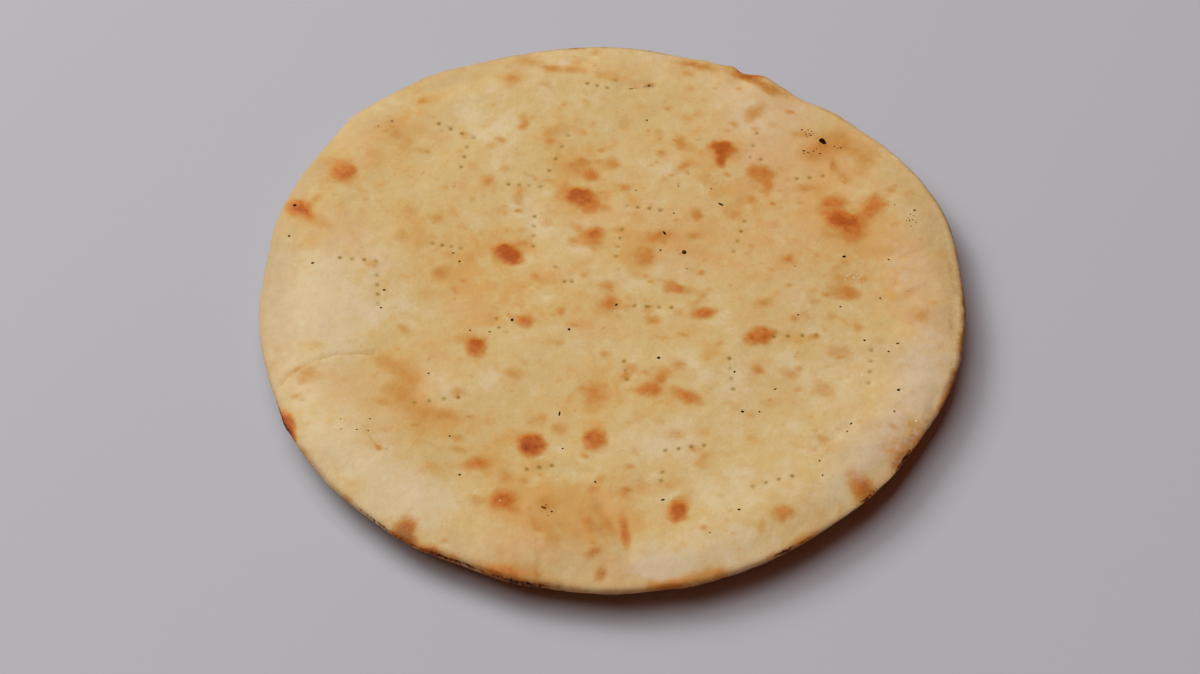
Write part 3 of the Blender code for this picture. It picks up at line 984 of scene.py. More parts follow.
@dataclass(frozen=True)
class CrustFinish:
    """Baked dough: cream to gold, with brown blisters, flour, char and olive prick marks, and painted shade
    in grey patches, round the rim and along creases.

    The fields that end in mottle, speckle or grain are the shares of that noise in a mask.
    A noise is given by the size of its features in millimetres, its detail and its roughness.
    """

    mottle_noise: tuple[float, ...] = (5.0, 4.0, 0.62)
    speckle_noise: tuple[float, ...] = (1.5, 3.0, 0.6)
    grain_noise: tuple[float, ...] = (0.5, 2.0)
    milk: Colour = srgb(211, 189, 150)
    cream: Coat = Coat(srgb(209, 184, 138), -0.75, 0.1)
    straw: Coat = Coat(srgb(204, 173, 114), -0.1, 0.55)
    gold: Coat = Coat(srgb(202, 155, 86), 0.45, 1.25)
    gold_mottle: float = 1.3
    gold_speckle: float = 0.6
    peach: Coat = Coat(srgb(207, 161, 114), -0.3, 1.2, 0.75)
    peach_mottle: float = 0.8
    # Drab grey laid where the dull mask is high: partly the skin's grey, partly painted shade.
    drab_and_shade: Coat = Coat(srgb(182, 152, 112), 0.0, 1.0, 0.75)
    grey_shade_mottle: float = 0.5
    base_brown: Coat = Coat(srgb(158, 108, 62), 0.35, 1.2)
    base_mottle: float = 0.5
    toast: Coat = Coat(srgb(193, 138, 67), 0.02, 0.54, 0.9)
    amber: Coat = Coat(srgb(192, 112, 38), 0.34, 0.8, 0.94)
    russet: Coat = Coat(srgb(168, 78, 10), 0.66, 1.02, 0.95)
    umber: Coat = Coat(srgb(120, 46, 8), 0.98, 1.25, 0.7)
    brown_mottle: float = 0.9
    brown_speckle: float = 0.25
    nut: Coat = Coat(srgb(142, 88, 34), 0.08, 1.3, 0.9)
    nut_speckle: float = 1.2
    flour: Colour = srgb(213, 191, 163)
    flour_cover: float = 0.6
    flour_gain: float = 1.2
    flour_mottle: float = 1.6
    flour_grain: float = 0.5
    flour_range: Range = (1.15, 1.75)
    flour_edge: float = 0.4
    olive: Colour = srgb(142, 112, 24)
    olive_range: tuple[float, ...] = (0.32, 0.62, 0.35, 0.95)
    scorch: Coat = Coat(srgb(120, 46, 8), 1.05, 1.4, 0.8)
    soot: Coat = Coat(srgb(26, 17, 14), 1.35, 1.6, 0.95)
    char_speckle: float = 1.6
    roughness: float = 0.62
    flour_roughness: float = 0.85
    floury_range: Range = (0.0, 0.8)
    blister_gloss: float = 0.12
    glossy_range: Range = (0.3, 0.9)
    specular: float = 0.16
    bump_mm: float = 0.42
    bump_mottle: float = 0.5
    bump_speckle: float = 0.3
    bump_grain: float = 0.12

    def build(self) -> Material:
        """Makes the crust's material.

        Returns:
            The material.
        """
        material, shader = new_finish("baked_crust", self.roughness, self.specular)
        graph = ShaderGraph(material.node_tree)
        where = graph.add("ShaderNodeTexCoord").outputs["Object"]
        mottle = graph.noise(where, *self.mottle_noise)
        speckle = graph.noise(where, *self.speckle_noise)
        grain = graph.noise(where, *self.grain_noise)

        colour = self._dough(graph, mottle, speckle)
        colour = self._blisters(graph, colour, mottle, speckle)
        colour = self._dusting(graph, colour, mottle, grain)
        dent = graph.maths("MULTIPLY", graph.mask(Mask.PRICK), graph.ramp(mottle, *self.olive_range))
        colour = graph.mix(dent, colour, self.olive)
        char = graph.maths("MULTIPLY_ADD", speckle, self.char_speckle, graph.mask(Mask.CHAR))
        colour = graph.lay(self.soot, char, graph.lay(self.scorch, char, colour))
        graph.link(colour, shader.inputs["Base Color"])

        limits = (*self.floury_range, self.roughness, self.flour_roughness)
        rough = graph.ramp(graph.mask(Mask.FLOUR), *limits)
        glossy = graph.ramp(graph.mask(Mask.BROWNING), *self.glossy_range, 0.0, self.blister_gloss)
        graph.link(graph.maths("SUBTRACT", rough, glossy), shader.inputs["Roughness"])

        height = graph.maths("MULTIPLY", speckle, self.bump_speckle)
        height = graph.maths("MULTIPLY_ADD", mottle, self.bump_mottle, height)
        height = graph.maths("MULTIPLY_ADD", grain, self.bump_grain, height)
        graph.link(graph.bump(height, self.bump_mm), shader.inputs["Normal"])
        return material

    def _dough(self, graph: ShaderGraph, mottle: Socket, speckle: Socket) -> Socket:
        """Cream to gold over the whole top, greyed in patches and round the rim partly as painted shade,
        brown underneath.

        Args:
            graph: The material's tree.
            mottle: The broad noise.
            speckle: The finer noise.

        Returns:
            The colour.
        """
        tone = graph.swing(speckle, self.gold_speckle, graph.swing(mottle, self.gold_mottle))
        tone = graph.maths("ADD", graph.mask(Mask.GILDING), tone)
        colour = self.milk
        for coat in (self.cream, self.straw, self.gold):
            colour = graph.lay(coat, tone, colour)
        flush = graph.swing(mottle, self.peach_mottle, graph.mask(Mask.BLUSH))
        colour = graph.lay(self.peach, flush, colour)
        # Drab grey, partly the skin's own and partly painted shade in patches and round the rim.
        dull = graph.swing(mottle, self.grey_shade_mottle, graph.mask(Mask.DULL_AND_SHADE))
        colour = graph.lay(self.drab_and_shade, dull, colour)
        under = graph.maths("MULTIPLY_ADD", mottle, self.base_mottle, graph.mask(Mask.UNDERSIDE))
        return graph.lay(self.base_brown, under, colour)

    def _blisters(self, graph: ShaderGraph, colour: Socket, mottle: Socket, speckle: Socket) -> Socket:
        """Toast, amber, russet and umber where the crust browned and, as painted shade, along the creases,
        and nut-brown over them.

        Args:
            graph: The material's tree.
            colour: The colour under them.
            mottle: The broad noise.
            speckle: The finer noise.

        Returns:
            The colour.
        """
        uneven = graph.swing(mottle, self.brown_mottle, graph.swing(speckle, self.brown_speckle))
        amount = graph.mask(Mask.BROWNING)
        amount = graph.maths("MULTIPLY_ADD", amount, uneven, amount)
        for coat in (self.toast, self.amber, self.russet, self.umber):
            colour = graph.lay(coat, amount, colour)
        uneven = graph.swing(mottle, self.brown_mottle, graph.swing(speckle, self.nut_speckle))
        nutty = graph.mask(Mask.NUTTY)
        return graph.lay(self.nut, graph.maths("MULTIPLY_ADD", nutty, uneven, nutty), colour)

    def _dusting(self, graph: ShaderGraph, colour: Socket, mottle: Socket, grain: Socket) -> Socket:
        """Flour left on the skin in patches and grains.

        Args:
            graph: The material's tree.
            colour: The colour under it.
            mottle: The broad noise.
            grain: The finest noise.

        Returns:
            The colour.
        """
        flour = graph.mask(Mask.FLOUR)
        dust = graph.maths("MULTIPLY", grain, self.flour_grain)
        dust = graph.maths("MULTIPLY_ADD", mottle, self.flour_mottle, dust)
        dust = graph.maths("MULTIPLY_ADD", flour, self.flour_gain, dust)
        edge = graph.ramp(flour, 0.0, self.flour_edge)
        dusted = graph.maths("MULTIPLY", graph.ramp(dust, *self.flour_range), edge)
        return graph.mix(graph.maths("MULTIPLY", dusted, self.flour_cover), colour, self.flour)


@dataclass(frozen=True)
class CharFinish:
    """Burnt crumb: nearly black, brown where it is thin."""

    soot: Colour = srgb(16, 7, 3)
    ember: Colour = srgb(84, 40, 12)
    ember_noise: tuple[float, ...] = (5.0, 2.0)
    ember_range: tuple[float, ...] = (0.45, 0.75, 0.0, 0.8)
    grain_noise: tuple[float, ...] = (0.5, 2.0)
    roughness: float = 0.75
    specular: float = 0.04
    bump_mm: float = 0.1

    def build(self) -> Material:
        """Makes the char's material.

        Returns:
            The material.
        """
        material, shader = new_finish("charred_crumb", self.roughness, self.specular)
        graph = ShaderGraph(material.node_tree)
        where = graph.add("ShaderNodeTexCoord").outputs["Object"]
        patchy = graph.ramp(graph.noise(where, *self.ember_noise), *self.ember_range)
        graph.link(graph.mix(patchy, self.soot, self.ember), shader.inputs["Base Color"])
        grain = graph.noise(where, *self.grain_noise)
        graph.link(graph.bump(grain, self.bump_mm), shader.inputs["Normal"])
        return material


@dataclass(frozen=True)
class MatteFinish:
    """Something plain and matte: the pale floor, or pale flecks on the dough that are partly flour and
    partly painted highlight where the skin glints.
    """

    name: str
    tone: Colour
    roughness: float = 0.9
    specular: float = 0.1

    def build(self) -> Material:
        """Makes the plain material.

        Returns:
            The material.
        """
        material, shader = new_finish(self.name, self.roughness, self.specular)
        shader.inputs["Base Color"].default_value = (*self.tone, 1.0)
        return material


BURNT = CharFinish()
SINGED = CharFinish(soot=srgb(66, 34, 12), ember=srgb(116, 66, 26))
# Pale flecks, partly flour and partly painted highlight where the skin glints.
FLOUR_AND_GLINT = MatteFinish("flour_fleck", srgb(224, 201, 166))
PLAIN_FLOOR = MatteFinish("plain_floor", srgb(177, 175, 180))


def new_object(name: str, data: bpy.types.ID) -> bpy.types.Object:
    """Adds an object to the scene, at the origin.

    Args:
        name: The object's name.
        data: Its mesh, light or camera.

    Returns:
        The object.
    """
    made = bpy.data.objects.new(name, data)
    bpy.context.scene.collection.objects.link(made)
    return made


def baked_copy(source: bpy.types.Object, name: str) -> bpy.types.Object:
    """Replaces an object by a plain mesh of what its modifiers make.

    Args:
        source: The object with its geometry tree.
        name: Name of the finished piece.

    Returns:
        The plain object, at the origin.
    """
    graph = bpy.context.evaluated_depsgraph_get()
    shaped = source.evaluated_get(graph)
    mesh = bpy.data.meshes.new_from_object(shaped, preserve_all_data_layers=True, depsgraph=graph)
    mesh.name = name
    bpy.data.objects.remove(source)
    return new_object(name, mesh)


def point_cloud(name: str, places: Sequence[Vector]) -> bpy.types.Object:
    """Makes a mesh of bare points for a geometry tree to read.

    Args:
        name: Name of the mesh and its object.
        places: The points, in metres.

    Returns:
        The object.
    """
    mesh = bpy.data.meshes.new(name)
    mesh.from_pydata([tuple(place) for place in places], [], [])
    return new_object(name, mesh)


@dataclass
class GeometryTree:
    """A geometry tree under construction, with its named inputs."""

    name: str
    tree: bpy.types.NodeTree = field(init=False)
    graph: Graph = field(init=False)
    inputs: Node = field(init=False)
    outputs: Node = field(init=False)
    identifiers: dict[str, str] = field(default_factory=dict)

    def __post_init__(self) -> None:
        """Makes the empty tree with a geometry going in and one coming out."""
        self.tree = bpy.data.node_groups.new(self.name, "GeometryNodeTree")
        geometry = SocketKind.GEOMETRY
        self.socket("Geometry", geometry)
        self.tree.interface.new_socket("Geometry", in_out="OUTPUT", socket_type=geometry.value)
        self.graph = Graph(self.tree)
        self.inputs = self.graph.add("NodeGroupInput")
        self.outputs = self.graph.add("NodeGroupOutput")

    def socket(self, name: str, kind: SocketKind) -> None:
        """Adds a named input."""
        made = self.tree.interface.new_socket(name, in_out="INPUT", socket_type=kind.value)
        self.identifiers[name] = made.identifier

    def close(self, geometry: Socket) -> None:
        """Ends the tree in real geometry, dressed in the material of a last input, Finish.

        Args:
            geometry: What the tree has made.
        """
        self.socket("Finish", SocketKind.MATERIAL)
        real = self.graph.add("GeometryNodeRealizeInstances", {"Geometry": geometry})
        dress = {"Geometry": real.outputs[0], "Material": self.inputs.outputs["Finish"]}
        dressed = self.graph.add("GeometryNodeSetMaterial", dress)
        self.graph.link(dressed.outputs[0], self.outputs.inputs[0])

    def apply_to(self, target: bpy.types.Object, values: dict[str, Any]) -> None:
        """Puts the tree on an object.

        Args:
            target: The object to change.
            values: The named inputs' values.
        """
        modifier = target.modifiers.new(self.name, "NODES")
        modifier.node_group = self.tree
        for name, value in values.items():
            modifier[self.identifiers[name]] = value


@dataclass
class Crust:
    """The bread's whole skin: top, shoulder, undercut and flat base."""

    relief: Relief = field(default_factory=Relief)
    docking: Docking = field(default_factory=Docking)
    bake: Bake = field(default_factory=Bake)
    finish: CrustFinish = field(default_factory=CrustFinish)
    segments: int = 720
    shoulder_steps: int = 15
    shoulder_end: float = 66.0
    undercut_steps: int = 12
    grid_pitch: float = 1.26
    grid_jitter: float = 0.16
    base_pitch: float = 7.0
    base_jitter: float = 1.0
    border_gap: float = 0.6
    field_reach: float = 1.1
    raised_from: float = 0.4
    seed: int = 5

    def build(self) -> bpy.types.Object:
        """Returns:
            The crust's piece.
        """
        skin = self._skin()
        cloud = self._press_pricks(skin)
        piece = baked_copy(skin, "crust_skin")
        bpy.data.objects.remove(cloud)
        piece.data.shade_smooth()
        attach(piece, ROOT_BODY)
        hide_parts(BREAD_NODE)
        return piece

    def lifted(self, places: Sequence[Place]) -> list[Vector]:
        """Plan positions set on the finished top, in metres."""
        x, y = np.array(places).T
        return [Vector(place) * MM for place in np.column_stack([x, y, self._top(x, y)]).tolist()]

    def _top(self, x: Array, y: Array) -> Array:
        """Heights of the top with its blisters.

        Args:
            x: Plan positions across.
            y: Plan positions up.

        Returns:
            The heights, in millimetres.
        """
        browning = self.bake.browning(x, y, self.relief.outline.inset(x, y))
        raised = self.relief.blister_raise * smoothstep(self.raised_from, 1.0, browning)
        return self.relief.top(x, y, raised)

    def _rings(self) -> tuple[Array, Array]:
        """Works out the skin's outer rings.

        Returns:
            The rings of the undercut, base edge first, and of the shoulder, edge first.
        """
        bearings = np.arange(self.segments) * 360.0 / self.segments
        edge = self.relief.outline.radius_at(bearings)
        edge_height = self.relief.outline.height_at(bearings)
        under, over = [], []
        curve = self.relief.undercut_curve
        for turn in np.radians(np.linspace(90.0, 90.0 / self.undercut_steps, self.undercut_steps)):
            depth = self.relief.undercut_width * (1.0 - max(0.0, math.cos(turn)) ** curve)
            x, y = on_bearing(bearings, edge - depth)
            under.append(np.stack([x, y, edge_height * (1.0 - math.sin(turn) ** curve)], axis=1))
        for turn in np.radians(np.linspace(0.0, self.shoulder_end, self.shoulder_steps)):
            depth = self.relief.shoulder_width * (1.0 - math.cos(turn))
            x, y = on_bearing(bearings, edge - depth)
            over.append(np.stack([x, y, self._top(x, y)], axis=1))
        return np.array(under), np.array(over)

    def _field(self, pitch: float, jitter: float, border: float, avoid: Sequence[Place]) -> Array:
        """Scattered plan positions that keep clear of the edge and of the pricks.

        Args:
            pitch: Distance between neighbours.
            jitter: How far each is moved at random.
            border: How far inside the edge the border lies that they keep clear of.
            avoid: Centres to keep clear of.

        Returns:
            The positions, one row each.
        """
        dice = np.random.RandomState(self.seed)
        row_pitch = pitch * math.sqrt(3.0) / 2.0
        reach = int(self.field_reach * self.relief.outline.radius / row_pitch)
        rows, columns = np.mgrid[-reach : reach + 1, -reach : reach + 1]
        x = (columns + 0.5 * (rows % 2)) * pitch + dice.uniform(-jitter, jitter, rows.shape)
        y = rows * row_pitch + dice.uniform(-jitter, jitter, rows.shape)
        x, y = x.ravel(), y.ravel()
        keep = self.relief.outline.inset(x, y) > border + self.border_gap * pitch
        x, y = x[keep], y[keep]
        for centre_x, centre_y in avoid:
            keep = np.hypot(x - centre_x, y - centre_y) > self.docking.clearance
            x, y = x[keep], y[keep]
        return np.stack([x, y], axis=1)

    def _prick_field(self) -> Array:
        """Plan positions in close rings round each prick, so that its hole has a form.

        Returns:
            The positions, one row each.
        """
        places = []
        for centre_x, centre_y in self.docking.centres():
            places.append((centre_x, centre_y))
            for radius, sides in self.docking.rings:
                for side in range(sides):
                    dx, dy = on_bearing(side * 360.0 / sides, radius)
                    places.append((centre_x + dx, centre_y + dy))
        return np.array(places)

    def _cap(self, border: Array, inner: Array) -> list[tuple[int, ...]]:
        """Triangles over scattered positions inside a border.

        Args:
            border: Plan positions of the border, in order.
            inner: Plan positions inside it.

        Returns:
            Triangles that number the border's points first, then the inner ones.
        """
        plan = [Vector(place) for place in np.concatenate([border, inner]).tolist()]
        result = delaunay_2d_cdt(plan, [], [list(range(len(border)))], INSIDE_ONLY, MERGE_DISTANCE)
        origin = [sources[0] for sources in result[3]]
        return [tuple(origin[corner] for corner in face) for face in result[2]]

    def _skin(self) -> bpy.types.Object:
        """Makes the closed skin with its attributes, before the pricks are pressed in.

        Returns:
            The skin's object.
        """
        under, over = self._rings()
        stack = np.concatenate([under, over])
        count = self.segments
        faces: list[tuple[int, ...]] = []
        for level in range(len(stack) - 1):
            low, high = level * count, (level + 1) * count
            for index in range(count):
                after = (index + 1) % count
                faces.append((low + index, low + after, high + after, high + index))

        crown_border = over[-1][:, :2]
        shoulder = self.relief.shoulder_width * (1.0 - math.cos(math.radians(self.shoulder_end)))
        crown = np.concatenate([
            self._field(self.grid_pitch, self.grid_jitter, shoulder, self.docking.centres()),
            self._prick_field(),
        ])
        base_border = under[0][:, :2]
        base = self._field(self.base_pitch, self.base_jitter, self.relief.undercut_width, ())

        vertices = np.concatenate([
            stack.reshape(-1, 3),
            np.column_stack([crown, self._top(crown[:, 0], crown[:, 1])]),
            np.column_stack([base, np.zeros(len(base))]),
        ])
        crown_edge = (len(stack) - 1) * count
        crown_start = len(stack) * count
        base_start = crown_start + len(crown)
        for face in self._cap(crown_border, crown):
            faces.append(tuple(self._number(corner, count, crown_edge, crown_start) for corner in face))
        for face in self._cap(base_border, base):
            faces.append(tuple(self._number(corner, count, 0, base_start) for corner in reversed(face)))

        mesh = bpy.data.meshes.new("crust_plain")
        mesh.from_pydata((vertices * MM).tolist(), [], faces)
        mesh.update()
        self._paint(mesh, vertices)
        return new_object("crust_plain", mesh)

    @staticmethod
    def _number(corner: int, border_count: int, border_start: int, inner_start: int) -> int:
        """Finds a cap's own point in the whole mesh.

        Args:
            corner: The point's number in the cap.
            border_count: How many of the cap's points are on its border.
            border_start: The border's first number in the mesh.
            inner_start: The first number of the points inside.

        Returns:
            The point's number in the mesh.
        """
        if corner < border_count:
            return border_start + corner
        return inner_start + corner - border_count

    def _paint(self, mesh: bpy.types.Mesh, vertices: Array) -> None:
        """Gives the mesh the masks that the finish reads.

        Args:
            mesh: The skin's mesh.
            vertices: Its points, in millimetres.
        """
        x, y, z = vertices.T
        inset = self.relief.outline.inset(x, y)
        bearing = bearing_of(x, y)
        edge_height = self.relief.outline.height_at(bearing)
        beneath = smoothstep(0.0, 1.0, (edge_height - z) / edge_height)
        masks = {
            Mask.BROWNING: self.bake.browning(x, y, inset),
            Mask.GILDING: self.bake.tone(x, y),
            Mask.FLOUR: self.bake.sum_of(self.bake.flour, x, y) * (1.0 - beneath),
            Mask.BLUSH: self.bake.flush(x, y),
            Mask.CHAR: sum(char.amount(bearing, inset) for char in self.bake.chars),
            Mask.DULL_AND_SHADE: self.bake.greyness_and_shade(x, y, inset),
            Mask.NUTTY: self.bake.nuttiness(x, y, inset),
            Mask.UNDERSIDE: beneath,
        }
        for mask, values in masks.items():
            layer = mesh.attributes.new(mask.value, "FLOAT", "POINT")
            layer.data.foreach_set("value", values.astype(np.float32))

    def _press_pricks(self, skin: bpy.types.Object) -> bpy.types.Object:
        """Puts a geometry tree on the skin that presses every fork prick in and marks it.

        Args:
            skin: The skin's object.

        Returns:
            The cloud of prick centres that the tree reads, to be removed once the skin is baked.
        """
        tree = GeometryTree("fork_docking")
        tree.socket("Prick centres", SocketKind.OBJECT)
        for name in ("Prick radius", "Prick depth", "Pull radius", "Pull depth"):
            tree.socket(name, SocketKind.LENGTH)
        graph, given = tree.graph, tree.inputs.outputs
        places = {"Object": given["Prick centres"]}
        centres = graph.add("GeometryNodeObjectInfo", places, transform_space="RELATIVE")
        near = graph.add("GeometryNodeProximity", {0: centres.outputs["Geometry"]}, target_element="POINTS")

        def fall(radius: Socket, reach: float) -> Socket:
            """1 at a prick's centre, 0 beyond reach times its radius."""
            ratio = graph.maths("DIVIDE", near.outputs["Distance"], radius)
            return graph.ramp(ratio, self.docking.flat_share, reach, 1.0, 0.0)

        hole = fall(given["Prick radius"], self.docking.hole_reach)
        pull = fall(given["Pull radius"], self.docking.pull_reach)
        mark = fall(given["Prick radius"], self.docking.mark_reach)
        sunk = graph.maths("MULTIPLY", hole, given["Prick depth"])
        sunk = graph.maths("MULTIPLY_ADD", pull, given["Pull depth"], sunk)
        offset = graph.add("ShaderNodeCombineXYZ", {"Z": graph.maths("MULTIPLY", sunk, -1.0)})
        moves = {"Geometry": given["Geometry"], "Offset": offset.outputs[0]}
        moved = graph.add("GeometryNodeSetPosition", moves)
        marked = graph.add(
            "GeometryNodeStoreNamedAttribute",
            {"Geometry": moved.outputs[0], "Name": Mask.PRICK.value, "Value": mark},
            data_type="FLOAT",
            domain="POINT",
        )
        tree.close(marked.outputs[0])

        cloud = point_cloud("prick_centres", self.lifted(self.docking.centres()))
        tree.apply_to(skin, {
            "Prick centres": cloud,
            "Prick radius": self.docking.radius * MM,
            "Prick depth": self.docking.depth * MM,
            "Pull radius": self.docking.pull_radius * MM,
            "Pull depth": self.docking.pull_depth * MM,
            "Finish": self.finish.build(),
        })
        return cloud


@dataclass(frozen=True)
class Speck:
    """A burnt crumb or dash: its place, half its length and breadth, and its heading."""

    x: float
    y: float
    half_length: float
    half_breadth: float
    turn: float = 0.0


BURNT_SPECKS = table(
    Speck,
    (99.8, 96, 1.8, 1.6, -60), (100.8, 94.6, 1.2, 0.9, 20), (33, 26.5, 1.4, 1.2, 80),
    (50.7, 56.5, 1.6, 0.6, -30), (24, 38, 1.5, 0.6, -60), (107, 24, 1, 0.7, 20), (-24, -67, 1.5, 0.5, 85),
    (-46, -13.5, 1, 0.8, 80), (-150.5, 36.5, 0.8, 0.6), (-149, 55.5, 1.1, 0.8), (20.5, -36, 0.9, 0.8),
    (-20, -19, 0.8, 0.7), (-83, -45, 0.6, 0.5), (57.5, -66.5, 0.8, 0.7), (105.5, -74, 0.9, 0.5, 30),
    (127.5, -55.5, 0.9, 0.7), (114, -25, 0.7, 0.6), (104, -5.5, 0.6, 0.5), (141, 51, 0.7, 0.6),
    (28.5, 50.5, 0.6, 0.5), (1.5, -5, 1, 0.5, 50), (21.5, -115, 1, 0.5, 15), (54.5, -121.5, 0.8, 0.6),
    (-67.5, -101.5, 0.7, 0.6), (-27, -121.5, 0.6, 0.5), (-72.5, -80.5, 0.6, 0.4), (-108, -72.5, 0.6, 0.4),
    (-106, -7, 0.6, 0.5), (-105, 3.5, 0.8, 0.6), (31, 67.5, 0.5, 0.4), (11, 65, 0.6, 0.4),
    (46.5, 66, 0.5, 0.4), (34, 16.5, 0.5, 0.4),
)
SINGED_SPECKS = table(
    Speck,
    (-138.5, 18.5, 0.9, 0.6, 10), (-71, 22, 0.7, 0.5), (-105.5, 108.5, 0.5, 0.4), (-112, 105.5, 0.4, 0.3),
    (-65, -19.5, 0.6, 0.5), (65, -66.5, 0.6, 0.5), (72.5, -53.5, 0.9, 0.5, 30), (54.5, -44, 0.8, 0.5, 60),
    (103.5, -78.5, 0.7, 0.4, 50), (129, -27.5, 1.1, 0.5, 15), (124.5, -32, 0.6, 0.5),
    (125, -67.5, 0.6, 0.5), (122.5, -0.5, 0.6, 0.4), (127.5, 22, 0.7, 0.5), (138.5, 44.5, 0.7, 0.4, 60),
    (22, 27.5, 0.6, 0.5), (-8, -105, 0.8, 0.5, -60), (-30.5, -119.5, 1.5, 0.6, -20),
    (-113.5, -79, 0.6, 0.25), (90.5, 103, 0.8, 0.4, 45), (94.5, 99.5, 0.7, 0.4), (91, 90, 0.8, 0.5),
    (108.5, 91.5, 0.7, 0.5), (105.5, 92.5, 0.5, 0.4), (98.5, 88, 0.7, 0.4), (92.5, 100, 0.5, 0.4),
    (-22.5, -86.5, 0.6, 0.5), (-74, 27, 0.8, 0.4), (-56, -20.5, 0.9, 0.4), (16.5, 110, 0.6, 0.5),
    (84.5, -10.5, 0.6, 0.4), (90.5, -95.5, 0.8, 0.4, 60), (91.5, -103.5, 0.6, 0.4, 60),
    (41.5, -134, 0.5, 0.4), (17.8, 131.6, 0.8, 0.6, 60), (9, 129.6, 1.4, 0.3, 8),
    (92, 101.5, 0.4, 0.3, 30), (93.5, 103, 0.4, 0.3, 60), (95, 102, 0.4, 0.3), (94, 100.5, 0.5, 0.3, -40),
    (96, 100.8, 0.4, 0.3), (92.8, 98.5, 0.4, 0.3), (91, 88.5, 0.4, 0.3), (93, 89, 0.9, 0.3, -20),
    (95.5, 89.5, 0.4, 0.3), (97, 91, 0.4, 0.3, 50), (107, 91, 0.4, 0.3), (140.5, 47.5, 0.4, 0.3),
    (139, 48.5, 0.5, 0.3, 60), (138, 46, 0.4, 0.3), (137, 44.5, 0.4, 0.3, 30), (139.8, 45, 0.5, 0.3, -50),
    (138.8, 41, 0.4, 0.3), (141.2, 43.5, 0.4, 0.3), (-121, -73, 0.4, 0.3), (-120.5, -78.5, 0.4, 0.3),
    (-108.5, -79.5, 0.5, 0.3), (-28.5, -124, 0.4, 0.3), (-29.5, -118, 0.5, 0.3), (84, 18, 0.5, 0.3),
    (129, 56, 0.5, 0.25, -40), (132, 54, 0.5, 0.25, -40),
)
# Places of the pale flecks: partly flour, partly painted highlight on glinting flakes of skin.
FLOUR_AND_GLINT_FLECKS = table(
    Speck,
    (108, 12.5, 0.9, 0.3, 20), (109.5, 14, 0.7, 0.25, -30), (111, 12, 1, 0.3, 60),
    (112.5, 14, 0.8, 0.25, -10), (113.5, 11.5, 0.9, 0.3, 40), (110, 10, 0.7, 0.25, 80),
    (114.5, 13.5, 0.6, 0.25, -50), (112, 9.5, 0.8, 0.25, 10), (107, 10.5, 0.5, 0.25, -40),
    (115.5, 10, 0.6, 0.2, 70), (134.5, -72, 1.1, 0.5, -50), (112, -46, 0.7, 0.4),
    (109, -6.5, 0.7, 0.4, -60), (-49.5, -116, 0.5, 0.35), (-28, -101, 0.9, 0.25, -30),
    (-24.5, -104, 0.8, 0.25, -20), (131, -66, 0.6, 0.3), (128, -61, 0.5, 0.3, 30), (116, -60, 0.5, 0.3),
)


@dataclass
class Crumbs:
    """Small crumbs of one kind stuck on the top."""

    crust: Crust
    name: str
    finish: CharFinish | MatteFinish
    specks: tuple[Speck, ...]
    height_share: float = 0.5
    size_share: float = 0.9
    lump: float = 0.2
    lump_scale: float = 1400.0
    seed: int = 3
    seed_step: float = 7.31
    subdivisions: int = 2

    def build(self) -> bpy.types.Object:
        """Makes the crumbs as one piece.

        Returns:
            The crumbs' piece.
        """
        places = self.crust.lifted([(speck.x, speck.y) for speck in self.specks])
        cloud = point_cloud(self.name + "_places", places)
        self._write(cloud.data, "extent", [self._extent(speck) for speck in self.specks])
        self._write(cloud.data, "heading", [(0.0, 0.0, math.radians(speck.turn)) for speck in self.specks])
        material = self.finish.build()
        self._tree().apply_to(cloud, {"Lump": self.lump * MM, "Seed": self.seed, "Finish": material})
        piece = baked_copy(cloud, self.name)
        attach(piece, ROOT_BODY)
        return piece

    def _extent(self, speck: Speck) -> tuple[float, float, float]:
        """Half sizes of one crumb, in metres."""
        length, breadth = (half * self.size_share * MM for half in (speck.half_length, speck.half_breadth))
        return length, breadth, breadth * self.height_share

    @staticmethod
    def _write(mesh: bpy.types.Mesh, name: str, values: Sequence[Sequence[float]]) -> None:
        """Stores three numbers on each of a cloud's points."""
        layer = mesh.attributes.new(name, "FLOAT_VECTOR", "POINT")
        layer.data.foreach_set("vector", np.array(values, dtype=np.float32).ravel())

    def _tree(self) -> GeometryTree:
        """A tree that puts a lumpy crumb on each point of a cloud.

        Returns:
            The tree, with inputs Lump, Seed and Finish. It reads each point's extent and heading.
        """
        tree = GeometryTree(self.name)
        tree.socket("Lump", SocketKind.LENGTH)
        tree.socket("Seed", SocketKind.COUNT)
        graph, given = tree.graph, tree.inputs.outputs

        def vector(name: str) -> Socket:
            """Reads three numbers of a point."""
            named = {"Name": name}
            kind = "GeometryNodeInputNamedAttribute"
            return graph.add(kind, named, data_type="FLOAT_VECTOR").outputs["Attribute"]

        ball = {"Radius": 1.0, "Subdivisions": self.subdivisions}
        crumb = graph.add("GeometryNodeMeshIcoSphere", ball)
        turned = graph.add("FunctionNodeEulerToRotation", {0: vector("heading")})
        placed = graph.add("GeometryNodeInstanceOnPoints", {
            "Points": given["Geometry"],
            "Instance": crumb.outputs["Mesh"],
            "Rotation": turned.outputs[0],
            "Scale": vector("extent"),
        })
        real = graph.add("GeometryNodeRealizeInstances", {"Geometry": placed.outputs[0]})
        place = graph.add("GeometryNodeInputPosition")
        seed = graph.maths("MULTIPLY", given["Seed"], self.seed_step)
        shifted = graph.vector_maths("ADD", {0: place.outputs[0], 1: seed})
        noise = graph.add("ShaderNodeTexNoise", {
            "Vector": shifted,
            "Scale": self.lump_scale,
            "Detail": 1.0,
        })
        centred = graph.vector_maths("SUBTRACT", {0: noise.outputs["Color"], 1: (0.5, 0.5, 0.5)})
        twice = graph.maths("MULTIPLY", given["Lump"], 2.0)
        push = graph.vector_maths("SCALE", {0: centred, "Scale": twice})
        lumpy = graph.add("GeometryNodeSetPosition", {"Geometry": real.outputs[0], "Offset": push})
        tree.close(lumpy.outputs[0])
        return tree


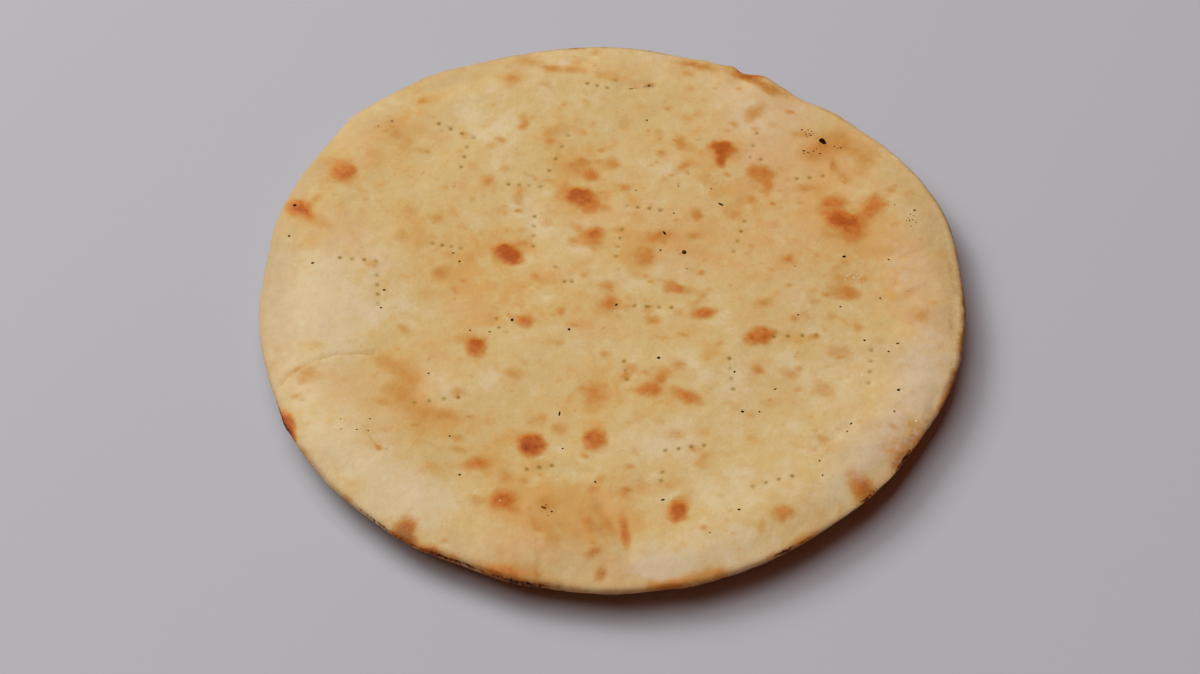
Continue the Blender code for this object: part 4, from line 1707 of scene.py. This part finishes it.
@dataclass(frozen=True)
class Softbox:
    """A square soft light aimed at the bread, placed by bearing and elevation."""

    name: str
    bearing: float
    elevation: float
    distance: float
    size: float
    power: float
    tone: Colour

    def build(self) -> None:
        """Adds the light."""
        data = bpy.data.lights.new(self.name, "AREA")
        data.shape = "SQUARE"
        data.size = self.size
        data.energy = self.power
        data.color = self.tone
        lamp = new_object(self.name, data)
        rise = math.radians(self.elevation)
        x, y = on_bearing(self.bearing, math.cos(rise))
        direction = Vector((x, y, math.sin(rise)))
        lamp.location = direction * self.distance
        lamp.rotation_mode = "QUATERNION"
        lamp.rotation_quaternion = (-direction).to_track_quat("-Z", "Y")


@dataclass
class Studio:
    """Plain floor, soft lights and the camera."""

    elevation: float = 51.0
    distance: float = 1500.0
    target: tuple[float, float, float] = (-5.95, -17.5, 10.0)
    pixels_per_mm: float = 2.19
    image_width: float = 1200.0
    sensor_mm: float = 36.0
    floor_half: float = 3.0
    softboxes: tuple[Softbox, ...] = (
        Softbox("sky_box", 150.0, 64.0, 4.0, 4.6, 172.0, (0.9, 0.985, 0.995)),
        Softbox("window_box", 142.0, 42.0, 4.0, 1.8, 72.0, (0.9, 0.985, 0.995)),
    )
    world_tone: Colour = (1.0, 0.2, 0.1)
    world_strength: float = 0.13

    def build(self) -> None:
        """Makes everything that isn't the bread."""
        self._floor()
        self._camera()
        self._world()
        for softbox in self.softboxes:
            softbox.build()

    def _floor(self) -> None:
        """Adds the floor at the height the bread rests on."""
        half = self.floor_half
        mesh = bpy.data.meshes.new("plain_floor")
        ends = [(-half, -half, 0.0), (half, -half, 0.0), (half, half, 0.0), (-half, half, 0.0)]
        mesh.from_pydata(ends, [], [(0, 1, 2, 3)])
        mesh.materials.append(PLAIN_FLOOR.build())
        new_object("plain_floor", mesh)

    def _camera(self) -> None:
        """Adds the camera at the photograph's viewing angle."""
        data = bpy.data.cameras.new("view")
        data.sensor_width = self.sensor_mm
        data.lens = self.pixels_per_mm * self.distance * self.sensor_mm / self.image_width
        camera = new_object("view", data)
        rise = math.radians(self.elevation)
        back = Vector((0.0, -math.cos(rise), math.sin(rise)))
        camera.location = (Vector(self.target) + back * self.distance) * MM
        camera.rotation_mode = "QUATERNION"
        camera.rotation_quaternion = (-back).to_track_quat("-Z", "Y")
        bpy.context.scene.camera = camera

    def _world(self) -> None:
        """Fills the shadows a little from all round."""
        world = bpy.data.worlds.new("soft_fill")
        world.use_nodes = True
        sky = world.node_tree.nodes["Background"]
        sky.inputs["Color"].default_value = (*self.world_tone, 1.0)
        sky.inputs["Strength"].default_value = self.world_strength
        bpy.context.scene.world = world
        bpy.context.scene.view_settings.view_transform = "Standard"


def main() -> None:
    """Builds the bread and its studio in order and reports each piece."""
    logging.basicConfig(level=logging.INFO, format="%(message)s")
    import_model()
    crust = Crust()
    LOG.info("crust_skin: %d faces", len(crust.build().data.polygons))
    for crumbs in (
        Crumbs(crust, "burnt_specks", BURNT, BURNT_SPECKS),
        Crumbs(crust, "singed_specks", SINGED, SINGED_SPECKS),
        # Pale flecks that are partly flour and partly painted highlight.
        Crumbs(crust, "flour_flecks", FLOUR_AND_GLINT, FLOUR_AND_GLINT_FLECKS),
    ):
        LOG.info("%s: %d faces", crumbs.name, len(crumbs.build().data.polygons))
    Studio().build()


if __name__ == "__main__":
    main()
